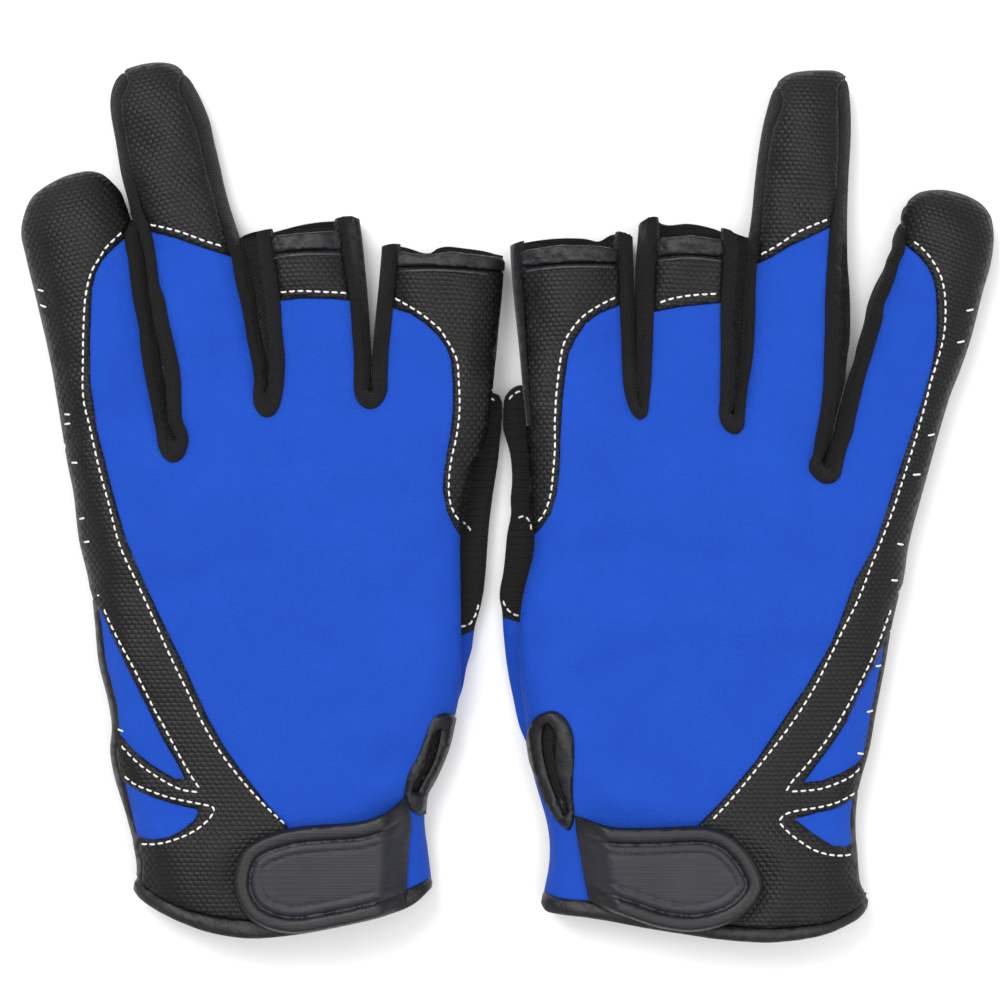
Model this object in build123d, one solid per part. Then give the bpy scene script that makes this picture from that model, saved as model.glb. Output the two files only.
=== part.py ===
"""A pair of three-cut sailing gloves lying palm down: full little and ring fingers, cut thumb,
index and middle fingers, and a hook-and-loop strap across each wrist.

Millimetres. X runs across the pair, Y towards the fingertips, Z up from the table.
"""
import os

from build123d import *

# ---- driving dimensions ----
HAND_HEIGHT = 20.0          # the flattened hand, palm to back
FINGER_HEIGHT = 17.0        # a flattened finger
THUMB_HEIGHT = 9.0          # the thumb stall, folded under the hand
HAND_SEAM = 9.0             # height at which the palm is sewn to the back
FINGER_SEAM = 5.0           # height at which a finger's palm side meets its fourchettes
THUMB_SEAM = 4.5
WALL = 2.0                  # neoprene or doubled suede
THUMB_WALL = 1.5
OVERLAY = 0.8               # synthetic leather stitched on the neoprene
TAPE = 0.6                  # how far a binding tape stands proud
FOURCHETTE = 5.5            # width of a fourchette, seen from above
TAPE_WIDTH = 5.0            # binding at the mouth of a cut finger
BODY_GAP = 0.5              # half the gap between a finger and the hand
SIDE_GAP = 0.9              # each finger stays this far inside its outline
STRETCH = 14.0              # how far an outline runs on past its ends before it is trimmed
REACH = 150.0               # larger than anything in one glove
SIDE_REACH = 50.0           # how far the hand's extent runs past its outer fingers
MARGIN = 5.0                # how far a cutting shape runs past what it cuts
RIM_OVERLAP = 1.0           # how far a rim's cutting shape starts outside the outline
CURVE_STEPS = 14            # points along a curve that is moved sideways
TURN_STEPS = 8              # points along a curve whose direction of turn is measured

STRAP_THICKNESS = 2.4
STRAP_RIM = 3.6             # width of the strap's bound edge
STRAP_RIM_PROUD = 0.6
HOOK_THICKNESS = 0.8
HOOK_INSET = 6.0
CLOSURE_GAP = 0.3           # between hook and loop faces
STRAP_TOP = HAND_HEIGHT + 2 * HOOK_THICKNESS + CLOSURE_GAP + STRAP_THICKNESS + STRAP_RIM_PROUD
VENT_TAPE = 1.6             # width of the tape round the vent slit
VENT_TAPE_PROUD = 0.5

THUMB_ROOT_RADIUS = 14.5
THUMB_CLEARANCE = 0.6
THUMB_MOUTH_RADIUS = 9.0    # the hole through which a thumb enters its stall


class Finger:
    """One finger: its root line, its outline in plan, and where its panels change."""

    def __init__(self, name, root, sides=None, outline=None, length=0.0, panel_start=0.0,
                 fourchettes=(-1, 1)):
        self.name = name
        self.root = root
        self.sides = sides
        self.outline = outline
        self.length = length
        self.panel_start = panel_start
        self.fourchettes = fourchettes

    def frame(self):
        """The plane with its origin mid root line, X along that line and Y up the finger."""
        left, right = Vector(*self.root[0], 0), Vector(*self.root[1], 0)
        return Plane(origin=(left + right) / 2, x_dir=right - left, z_dir=(0, 0, 1))


class Glove:
    """One glove's outlines. thumb_side is +1 where the thumb points to +X."""

    def __init__(self, prefix, thumb_side, fingers, **shape):
        self.prefix = prefix
        self.thumb_side = thumb_side
        self.fingers = fingers
        self.__dict__.update(shape)


LEFT = Glove(
    "left", 1,
    fingers=[
        Finger("little", ((-117.5, 14.5), (-89.5, 19)), fourchettes=(1,),
               outline=[(-117.5, 14.5), (-121, 37.5), (-124.5, 52), (-128, 64.5), (-129.1, 73),
                        (-126, 80), (-118.5, 85.5), (-111, 87.5), (-105, 84.5), (-101, 78),
                        (-97.5, 69.5), (-95, 53.5), (-92.5, 39), (-89.5, 19)]),
        Finger("ring", ((-90, 23), (-64, 27)), panel_start=43,
               outline=[(-90, 23), (-92, 37), (-95, 53.5), (-97.5, 69.5), (-102.5, 86.5),
                        (-105.5, 105), (-102.5, 113.5), (-93.5, 116.9), (-85.5, 113), (-81, 105),
                        (-75.5, 84), (-69, 61), (-66, 47), (-64, 27)]),
        Finger("middle", ((-64, 27), (-36.5, 30)), length=44, panel_start=25,
               sides=([(-64, 27), (-65.5, 41.5), (-67, 55), (-71, 71)],
                      [(-36.5, 30), (-36.5, 42), (-38, 61.5), (-39, 75.5)])),
        Finger("index", ((-36, 32), (-4, 29.5)), length=36, fourchettes=(-1,),
               sides=([(-36, 32), (-35.5, 42), (-34, 56), (-33, 68)],
                      [(-4, 29.5), (-3, 39), (-2, 53.5), (-1, 65)])),
    ],
    ulnar=[(-117.5, 14.5), (-116, 7), (-113.5, -10), (-110, -26), (-108.5, -43), (-105.5, -55),
           (-103, -79), (-99.5, -89.5), (-97.5, -105.5)],
    radial=[(-4.5, 29), (-5.5, 19), (-10, 6), (-12, -7.5), (-12, -26), (-10.5, -39),
            (-12.5, -52.5), (-16, -65.5), (-21.5, -80), (-21, -95), (-20, -106)],
    cuff=[(-104, -92), (-98.5, -104), (-93.5, -107.5), (-84, -112), (-68, -115), (-47, -112.5),
          (-25.5, -107.5), (-10, -101)],
    cuff_tape=4.8,
    overlay_edge=[(-101, 90), (-103, 68), (-108, 59), (-109.5, 45), (-109, 25), (-106, 10),
                  (-98, -16.5), (-87.5, -38), (-79, -56.5), (-69.5, -72), (-54, -88), (-40, -100)],
    windows=[[(-107.5, -32), (-104.8, -50), (-102.3, -62), (-91, -71), (-85, -73), (-97.5, -50)],
             [(-101, -74), (-93.5, -78), (-81.5, -82), (-86, -87), (-93.5, -89.5), (-98.5, -87.5)]],
    index_edge=[(-40, 55), (-30, 51), (-21.5, 47), (-16, 41), (-14.5, 31), (-15, 19), (-17, 3),
                (-16, -4), (-12.5, -8.5), (-2, -14)],
    vent=[(-19, -56), (-23.5, -62), (-26.5, -70), (-29, -76.5), (-25.5, -77.5), (-21, -69),
          (-17.8, -59)],
    strap_hinge=((-26, -107), (-26.5, -78.5)),
    strap=[(-26.5, -78.5), (-44.5, -84.5), (-57, -86), (-66, -88.5), (-72, -99), (-67.5, -109.5),
           (-57.5, -113), (-40, -111), (-26, -107)],
    loop=[(-32, -88), (-66, -91.5), (-68, -100), (-64, -106.5), (-32, -104)],
    thumb_pivot=(-22.5, -20),
    thumb_outer=[(-8.4, -24), (-5.6, -12), (-3.4, 3), (-1.9, 16), (-1.8, 26.3)],
    thumb_inner=[(-28, 28.2), (-32, 10), (-36.8, -17)],
    thumb_recess=-38.5,
)

RIGHT = Glove(
    "right", -1,
    fingers=[
        Finger("index", ((4, 29.5), (35, 31)), length=39, fourchettes=(1,),
               sides=([(4, 29.5), (3, 40.5), (1, 56), (1, 68)],
                      [(35, 31), (34, 43), (33.5, 59), (33, 70)])),
        Finger("middle", ((35.5, 26.5), (61, 25)), length=46, panel_start=26,
               sides=([(35.5, 26.5), (34.5, 43), (34, 61.5), (35.5, 74)],
                      [(61, 25), (62.5, 40.5), (63.5, 53.5), (64, 70)])),
        Finger("ring", ((62, 26.5), (88.5, 25)), panel_start=42,
               outline=[(62, 26.5), (63.5, 40), (65, 55), (65, 75), (67.5, 96), (70.5, 107),
                        (75, 112.5), (84.5, 114), (90, 112), (91.6, 103), (91, 88), (90.8, 72),
                        (91.3, 53.5), (90.8, 36), (88.5, 25)]),
        Finger("little", ((84.5, 12.5), (112, 4)), fourchettes=(-1,),
               outline=[(84.5, 12.5), (87.8, 22), (91, 32), (94, 42), (97, 52), (101.5, 63.5),
                        (103.5, 73), (105.5, 78.5), (110, 82), (117, 82.5), (125.5, 79),
                        (129.2, 72), (128.5, 63), (124.5, 51), (119.5, 33.5), (112, 4)]),
    ],
    ulnar=[(112, 4), (108, -5), (105, -17), (102, -34), (98.5, -52.5), (95, -69.5), (93, -79),
           (92.5, -88), (93.5, -98), (96, -110)],
    radial=[(5, 29), (7, 14), (7.5, -8), (5, -20.5), (2.5, -31.5), (1.5, -44.5), (4, -61.5),
            (8.5, -79), (10.5, -90), (10, -107)],
    cuff=[(102, -101), (96.5, -107), (92, -111.5), (83, -114.5), (69.5, -116.5), (51, -114.5),
          (35, -112), (22, -109.5), (10, -108.5), (0, -107)],
    cuff_tape=4.8,
    overlay_edge=[(98, 90), (106.5, 67), (111.5, 60), (113.5, 49), (112, 35), (105.5, 14),
                  (97, -11.5), (87.5, -34), (80, -50), (67, -65.5), (48, -88), (36, -100)],
    windows=[[(98.7, -41), (94.5, -48.5), (85.5, -65), (78, -74.5), (89.5, -71), (94.5, -67),
              (97, -55)],
             [(76, -83.5), (85.5, -81.5), (91.8, -79), (91.5, -90.5), (84.5, -89.5)]],
    index_edge=[(40, 54), (29.5, 52), (20.5, 47), (15.5, 33.5), (14, 16.5), (13, 2), (11, -5),
                (7.5, -9), (-3, -14)],
    vent=[(12, -55.5), (8.6, -61), (10.5, -70), (13.5, -81), (17, -83), (18, -75), (18, -63)],
    strap_hinge=((21.5, -105.5), (18, -87.5)),
    strap=[(18, -87.5), (22, -84.5), (40, -85.5), (56, -86), (64.5, -92), (67, -101.5),
           (60.5, -110.5), (48.5, -112.5), (35, -111), (21.5, -105.5)],
    loop=[(25, -90), (56, -90.5), (61.5, -95), (63, -101), (57, -106.5), (27, -103)],
    thumb_pivot=(14, -18),
    thumb_outer=[(-0.1, -21), (-0.6, -8), (-0.2, 6), (-0.9, 17), (-1.1, 25.8)],
    thumb_inner=[(26, 27), (28, 9), (28.3, -15)],
    thumb_recess=36.0,
)

GLOVES = [LEFT, RIGHT]


# ---- shapes in plan ----
def flat_points(points):
    """Points on the table as vectors."""
    return [Vector(x, y, 0) for x, y in points]


def stretched(points):
    """The points, with one more at each end, along the end chords."""
    line = flat_points(points)
    start = line[0] + (line[0] - line[1]).normalized() * STRETCH
    end = line[-1] + (line[-1] - line[-2]).normalized() * STRETCH
    return [start] + line + [end]


def closed_face(curves):
    """The face inside some curves and the straight lines that join them end to end."""
    edges = []
    for index, curve in enumerate(curves):
        following = curves[(index + 1) % len(curves)]
        edges.append(curve)
        edges.append(Line(curve @ 1, following @ 0))
    return make_face(edges)


def moved_curve(curve, amount, periodic):
    """The curve moved sideways, to the left of its own direction."""
    points = []
    for step in range(CURVE_STEPS if periodic else CURVE_STEPS + 1):
        place = step / CURVE_STEPS
        tangent = curve % place
        points.append(curve @ place + Vector(-tangent.Y, tangent.X) * amount)
    return Spline(*points, periodic=periodic)


class Outline:
    """An outline of one or two smooth curves, whose ends are joined by straight lines.

    Only the curves move when the outline is inset, so a hollow made from it runs out
    through its straight ends.
    """

    def __init__(self, *curves, periodic=False):
        self.curves = curves
        self.periodic = periodic
        corners = [curve @ (step / TURN_STEPS) for curve in curves for step in range(TURN_STEPS + 1)]
        area = sum(a.X * b.Y - b.X * a.Y for a, b in zip(corners, corners[1:] + corners[:1]))
        self.turn = 1 if area > 0 else -1

    def face(self, inset=0.0):
        """The face inside, with the curves moved inwards by inset."""
        curves = self.curves
        if inset:
            curves = [moved_curve(c, inset * self.turn, self.periodic) for c in curves]
        return make_face(curves[0]) if self.periodic else closed_face(curves)


def two_sided(one_side, other_side):
    """The outline between two side curves, stretched past their ends."""
    return Outline(Spline(*stretched(one_side)), Spline(*stretched(other_side)[::-1]))


def loop_outline(points):
    """The outline of one closed smooth curve."""
    return Outline(Spline(*flat_points(points), periodic=True), periodic=True)


def polygon_face(points):
    """The face inside a polygon."""
    return make_face(Polyline(*points, close=True))


def prism(face, low, high):
    """The face drawn up from one height to another."""
    return extrude(Pos(0, 0, low) * face, high - low, dir=(0, 0, 1))


# ---- soft hollow shapes ----
class Tube:
    """A flattened hollow shape: an outline in plan, a height and a gap to its neighbours."""

    def __init__(self, outline, height, gap=0.0):
        self.outline = outline
        self.height = height
        self.gap = gap

    def block(self, depth):
        """The solid that lies this deep inside the outer surface on every side."""
        return prism(self.outline.face(self.gap + depth), max(depth, 0), self.height - depth)

    def layer(self, outer_depth, inner_depth):
        """The skin between two depths."""
        return self.block(outer_depth) - self.block(inner_depth)

    def rim(self, width):
        """A prism over everything within a width of the outline's curves."""
        ring = self.outline.face(self.gap - RIM_OVERLAP) - self.outline.face(self.gap + width)
        return prism(ring, 0, self.height + MARGIN)


def along(plane, start, end):
    """A box round everything from start to end along a plane's Y axis."""
    middle = (start + end) / 2
    return plane * (Pos(0, middle, 0) * Box(REACH, end - start, REACH))


def side_of(plane, sign):
    """A box round everything on one side of a plane's Y axis."""
    return plane * (Pos(sign * REACH / 2, 0, 0) * Box(REACH, 2 * REACH, REACH))


def above(height):
    """Everything above a height."""
    return Pos(0, 0, height + REACH) * Box(4 * REACH, 4 * REACH, 2 * REACH)


def below(height):
    """Everything below a height."""
    return Pos(0, 0, height - REACH) * Box(4 * REACH, 4 * REACH, 2 * REACH)


# ---- zones that the embossed overlays cover ----
def ulnar_zone(glove):
    """Everything on the little-finger side of the ulnar overlay's inner edge."""
    far = -glove.thumb_side * REACH
    edge = Spline(*flat_points(glove.overlay_edge))
    zone = closed_face([edge, Line((far, -REACH), (far, REACH))])
    return prism(zone, -MARGIN, HAND_HEIGHT + MARGIN)


def index_zone(glove):
    """Everything on the thumb side of the index overlay's inner edge."""
    far = glove.thumb_side * REACH
    edge = Spline(*flat_points(glove.index_edge))
    beyond = Polyline((far, (edge @ 1).Y), (far, REACH), ((edge @ 0).X, REACH))
    return prism(closed_face([edge, beyond]), -MARGIN, HAND_HEIGHT + MARGIN)


# ---- fingers ----
def finger_outline(finger):
    """A finger's outline, stretched past its root and, on a cut finger, past its mouth."""
    if finger.outline:
        return Outline(Spline(*stretched(finger.outline)))
    return two_sided(*finger.sides)


def finger_room(finger):
    """The room that a finger takes from the hand."""
    grown = prism(finger_outline(finger).face(-SIDE_GAP), -MARGIN, HAND_HEIGHT + MARGIN)
    return grown & along(finger.frame(), -BODY_GAP, REACH)


def finger_parts(glove, finger):
    """Every sub-part of one finger, by name."""
    frame = finger.frame()
    tube = Tube(finger_outline(finger), FINGER_HEIGHT, SIDE_GAP)
    end = finger.length if finger.length else REACH
    shell = tube.layer(0, WALL) & along(frame, BODY_GAP, end)
    parts = {}

    if finger.length:
        mouth = along(frame, end - TAPE_WIDTH, end)
        parts["binding"] = tube.layer(-TAPE, WALL) & mouth
        shell -= mouth

    parts["palm"] = shell & below(FINGER_SEAM)
    upper = shell & above(FINGER_SEAM)

    rim = tube.rim(FOURCHETTE)
    strips = [upper & rim & side_of(frame, sign) for sign in finger.fourchettes]
    label = "fourchettes" if len(strips) > 1 else "fourchette"
    parts[label] = Part() + strips
    upper -= parts[label]

    if finger.name in ("little", "index"):
        zone = ulnar_zone(glove) if finger.name == "little" else index_zone(glove)
        parts["cap" if finger.name == "little" else "band"] = upper & zone
        parts["back"] = upper - zone
    else:
        far = along(frame, finger.panel_start, REACH)
        parts["tip" if finger.name == "ring" else "band"] = upper & far
        parts["back"] = upper - far
    return {f"{glove.prefix}_{finger.name}_{key}": part for key, part in parts.items()}


# ---- thumb ----
def thumb_solid(glove, depth):
    """The thumb stall's solid this deep inside its surface, running out through its mouth."""
    outer = Spline(*flat_points(glove.thumb_outer))
    inner = Spline(*flat_points(glove.thumb_inner))
    stall = Outline(outer, inner).face(depth)
    root = Pos(*glove.thumb_pivot, 0) * Circle(THUMB_ROOT_RADIUS - SIDE_GAP - depth)
    return prism((stall + root).face(), depth, THUMB_HEIGHT - depth)


def thumb_mouth(glove):
    """The way out of the stall's hollow, through its cut end."""
    outer, inner = flat_points([glove.thumb_outer[-1], glove.thumb_inner[0]])
    inward = (inner - outer).normalized() * THUMB_WALL
    out = Vector(0, THUMB_WALL)
    corners = [outer + inward - out, outer + inward + out, inner - inward + out,
               inner - inward - out]
    return prism(polygon_face(corners), THUMB_WALL, THUMB_HEIGHT - THUMB_WALL)


def thumb_parts(glove):
    """The thumb stall's back and palm sides."""
    hole = Pos(*glove.thumb_pivot, THUMB_HEIGHT) * Cylinder(THUMB_MOUTH_RADIUS, 3 * THUMB_WALL)
    hollow = thumb_solid(glove, THUMB_WALL) + thumb_mouth(glove)
    shell = thumb_solid(glove, 0) - hollow - hole
    return {
        f"{glove.prefix}_thumb_palm": shell & below(THUMB_SEAM),
        f"{glove.prefix}_thumb_back": shell & above(THUMB_SEAM),
    }


def thumb_recess(glove, grow):
    """The room for the folded thumb and its swing, larger by grow."""
    x, y = glove.thumb_pivot
    side = glove.thumb_side
    radius = THUMB_ROOT_RADIUS + THUMB_CLEARANCE + grow
    inner = glove.thumb_recess - side * grow
    far = x + side * REACH / 2
    room = polygon_face([(inner, y), (inner, y + REACH), (far, y + REACH), (far, y - radius),
                         (x, y - radius), (x, y)])
    corner = Pos(x, y, 0) * Circle(radius)
    return prism((room + corner).face(), -MARGIN, THUMB_HEIGHT + THUMB_CLEARANCE + grow)


# ---- the hand ----
def hand_region(glove, tape):
    """The hand's extent in plan: finger roots above, the cuff's curve below."""
    roots = [Vector(*end, 0) for finger in glove.fingers for end in finger.root]
    beyond = Vector(SIDE_REACH, 0)
    corners = [roots[0] - beyond] + roots + [roots[-1] + beyond]
    top = Polyline(*[corner for corner, before in zip(corners, [None] + corners)
                     if corner != before])
    cuff = [Vector(x, y + tape) for x, y in glove.cuff][::-glove.thumb_side]
    bottom = Spline(*cuff)
    edges = [top, Line(top @ 1, bottom @ 0), bottom, Line(bottom @ 1, top @ 0)]
    return prism(make_face(edges), -MARGIN, HAND_HEIGHT + MARGIN)


def hand_tube(glove):
    """The hand as a flattened hollow shape, longer than the hand at both ends."""
    return Tube(two_sided(glove.ulnar, glove.radial), HAND_HEIGHT)


def hand_parts(glove):
    """Everything sewn to the hand."""
    tube = hand_tube(glove)
    fingers = Part() + [finger_room(finger) for finger in glove.fingers]
    whole = hand_region(glove, 0) - fingers
    sewn = hand_region(glove, glove.cuff_tape) - fingers
    recess = thumb_recess(glove, 0)
    ceiling = thumb_recess(glove, WALL)
    window = Pos(*glove.thumb_pivot, THUMB_HEIGHT) * Cylinder(THUMB_MOUTH_RADIUS, 2 * MARGIN)

    cavity = tube.block(WALL) - ceiling
    solid = tube.block(0) - recess
    shell = ((solid - cavity) & sewn) - window
    palm = (shell & below(HAND_SEAM)) + (shell & ceiling)
    back = shell - palm

    vent = loop_outline(glove.vent)
    vent_cut = prism(vent.face(), HAND_SEAM + WALL, HAND_HEIGHT + MARGIN)
    vent_ring = vent_cut - prism(vent.face(VENT_TAPE), 0, HAND_HEIGHT + 2 * MARGIN)
    vent_binding = tube.layer(-VENT_TAPE_PROUD, WALL) & vent_ring
    back -= vent_cut

    skin = tube.layer(0, OVERLAY) & sewn & above(HAND_SEAM)
    windows = Part() + [prism(polygon_face(points), 0, HAND_HEIGHT + MARGIN)
                        for points in glove.windows]
    covered = [(skin & ulnar_zone(glove)) - windows, (skin & index_zone(glove)) - ceiling]
    overlays = (Part() + covered) - vent_cut
    back -= overlays

    cuff = tube.layer(-TAPE, WALL) & (whole - sewn)
    loop = prism(loop_outline(glove.loop).face(), HAND_HEIGHT, HAND_HEIGHT + HOOK_THICKNESS) & sewn
    names = {"palm_panel": palm, "back_panel": back, "embossed_overlays": overlays,
             "cuff_binding": cuff, "vent_binding": vent_binding, "loop_patch": loop}
    return {f"{glove.prefix}_{key}": part for key, part in names.items()}


# ---- the strap ----
def strap_parts(glove):
    """The wrist strap: its panel, its bound edge and the hook patch below it."""
    strap = Outline(Spline(*flat_points(glove.strap)))
    bottom = STRAP_TOP - STRAP_RIM_PROUD - STRAP_THICKNESS
    panel_face = strap.face(STRAP_RIM)
    panel = prism(panel_face, bottom, bottom + STRAP_THICKNESS)
    rim = prism(strap.face() - panel_face, bottom, STRAP_TOP)
    hook = prism(strap.face(HOOK_INSET), bottom - HOOK_THICKNESS, bottom)
    names = {"wrist_strap": panel, "strap_binding": rim, "hook_patch": hook}
    return {f"{glove.prefix}_{key}": part for key, part in names.items()}


def glove_parts(glove):
    """Every sub-part of one glove, by node name."""
    parts = hand_parts(glove)
    parts.update(strap_parts(glove))
    for finger in glove.fingers:
        parts.update(finger_parts(glove, finger))
    parts.update(thumb_parts(glove))
    return parts


def write_parts(parts):
    """Centre the pair on the origin and write one file per node."""
    whole = Compound(children=[Part() + part for part in parts.values()]).bounding_box()
    centre = (whole.min + whole.max) / 2
    print("moved by", -centre.X, -centre.Y, "size", whole.size)
    os.makedirs("parts", exist_ok=True)
    for name, part in parts.items():
        export_step(Pos(-centre.X, -centre.Y, 0) * part, f"parts/{name}.step")


def main():
    """Build both gloves."""
    parts = {}
    for glove in GLOVES:
        parts.update(glove_parts(glove))
    write_parts(parts)


if __name__ == "__main__":
    main()
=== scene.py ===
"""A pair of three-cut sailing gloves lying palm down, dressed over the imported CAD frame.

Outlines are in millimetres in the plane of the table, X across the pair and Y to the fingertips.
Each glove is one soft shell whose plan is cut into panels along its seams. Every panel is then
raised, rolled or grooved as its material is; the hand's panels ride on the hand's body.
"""
import math

import bpy
import numpy as np
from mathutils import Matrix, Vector, geometry, noise
from mathutils.bvhtree import BVHTree
from mathutils.kdtree import KDTree

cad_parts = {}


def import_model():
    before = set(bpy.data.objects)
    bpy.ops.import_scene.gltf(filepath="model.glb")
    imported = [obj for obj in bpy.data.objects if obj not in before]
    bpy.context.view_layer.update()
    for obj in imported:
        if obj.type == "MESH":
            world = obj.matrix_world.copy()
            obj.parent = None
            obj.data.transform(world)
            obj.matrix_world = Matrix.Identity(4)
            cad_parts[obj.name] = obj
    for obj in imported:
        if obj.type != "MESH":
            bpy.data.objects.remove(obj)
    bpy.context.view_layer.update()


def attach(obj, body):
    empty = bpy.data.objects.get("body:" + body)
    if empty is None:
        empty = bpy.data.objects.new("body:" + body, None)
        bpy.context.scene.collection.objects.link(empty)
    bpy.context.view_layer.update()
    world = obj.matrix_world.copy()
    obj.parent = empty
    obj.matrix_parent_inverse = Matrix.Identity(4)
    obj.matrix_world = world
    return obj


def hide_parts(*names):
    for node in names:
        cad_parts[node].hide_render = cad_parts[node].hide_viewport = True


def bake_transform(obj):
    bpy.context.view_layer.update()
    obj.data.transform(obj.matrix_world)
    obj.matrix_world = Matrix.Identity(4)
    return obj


MM = 0.001
SHIFT = (-0.388, 0.244)          # where the CAD frame's origin lies in the outlines' plane

# ---- fineness ----
EDGE_STEP = 1.1                  # spacing of points along seams
FIELD_STEP = 1.9                 # spacing of the free points between seams
RINGS = (0.4, 1.0)               # extra rows of points beside each seam
FINE_RINGS = (1.45, 1.9, 2.5, 3.1)   # and beside the edges with a groove or a bead
EDGE_RINGS = (0.35, 0.9, 1.8)    # and inside the outline
CROWDED = 0.3                    # how near a seam a row's point is left out
ROW_GAP = 0.42                   # how near each other the points of rows may come
GRID_GAP = 0.75                  # between those rows and the free points
FAR = 30.0                       # stands for any distance too great to matter
BLOCK = 1024                     # points measured at a time
ABOVE = 80.0                     # a height above everything
BELOW_CUFF = -140                # a Y below everything

# ---- the lie of the gloves, heights above the table ----
TABLE_CLEARANCE = 1.5
SEAM_Z = 7.0
HAND_TOP = 19.4
PUFF_WIDTH = 10.0                # how wide the rounding along an edge is
FLAT_UNDER = 9.5                 # the same for the underside
THUMB_PUFF = 7.0
THUMB_TOP = 8.7
THUMB_SEAM = 4.5
RECESS_TOP = 10.0                # the underside of the index side, over the folded thumb
RECESS_SEAM = 12.6
RECESS_ENDS = ((-60, -40), (30, 40))
CUFF_ROUND = {"outer": 26, "inner": 10, "inner_under": 16}   # widths of the open cuff's oval
CUFF_REACH = (-101, -70)         # where the cuff's oval starts to turn into the hand
BED_REACH = 7.0                  # how far round the strap the cloth is pressed
BED_DEPTH = 0.4

# ---- cloth ----
LINING = 1.5
THUMB_LINING = 0.9
BAG_STEP = 4.5
BAG_FRAMES = 16
SLACK = 0.9                      # the most that the cloth pass may move a point
BAG_NEIGHBOURS = 8               # bag points that share in moving one point of the glove
STRIP_DEPTH = 8.0                # how deep the fourchettes fall between the fingers
BEAD_WIDTH = 1.3                 # the rolled edge of a fourchette
BEAD_HEIGHT = 1.5
STRIP_FLOOR = 2.0                # the least that a fallen point stays above the seam
FULL_FINGER_REACH = 24.0
TIP_FADE = (66, 80)              # where the fourchettes of the full fingers flatten out

# ---- strap ----
STRAP_UNDER = 21.9
STRAP_TOP = 24.2
STRAP_THICKNESS = 1.35           # at the sewn end
STRAP_GAP = 0.15                 # between the sewn end and the cloth
SEWN_REACH = 8.0                 # how far from its sewn end the strap leaves the cloth
STRAP_RIM = 4.0                  # width of the strap's bound edge
STRAP_RAILS = (0.3, 0.7, 1.3, 2.0, 2.8, 3.4, 3.8, 4.1, 4.4, 4.8, 5.3, 5.9, 6.5, 6.85, 7.1,
               7.4, 7.9)         # rows of points beside its free edge
STRAP_EDGE_STEP = 0.9
STRAP_FIELD_STEP = 1.7
RAIL_GAP = 0.18
HOOK_INSET = 6.0
HOOK_LEVELS = (21.1, 21.8)
LOOP_LEVELS = (20.0, 20.75)
PATCH_STEP = 2.2
PATCH_EDGE = 0.5

# ---- thread ----
STITCH_LENGTH = 1.65
STITCH_PITCH = 2.25
STITCH_RADIUS = 0.29
STITCH_POINTS = 7
THREAD_SIDES = 6
STITCH_SINK = 0.3                # how deep a row of stitches pulls the cloth in
STITCH_REACH = 0.6
MARK_LENGTH = 2.9                # the longest stitch
MARK_PITCH = 9.0
PIPING_RADIUS = 0.42
PIPING_STEP = 0.6

# ---- camera ----
LENS = 135.0
SENSOR = 36.0
VIEW_WIDTH = 0.265               # metres across the view at the height of the gloves
VIEW_CENTRE = (-0.0023, 0.0006, 0.012)


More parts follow.
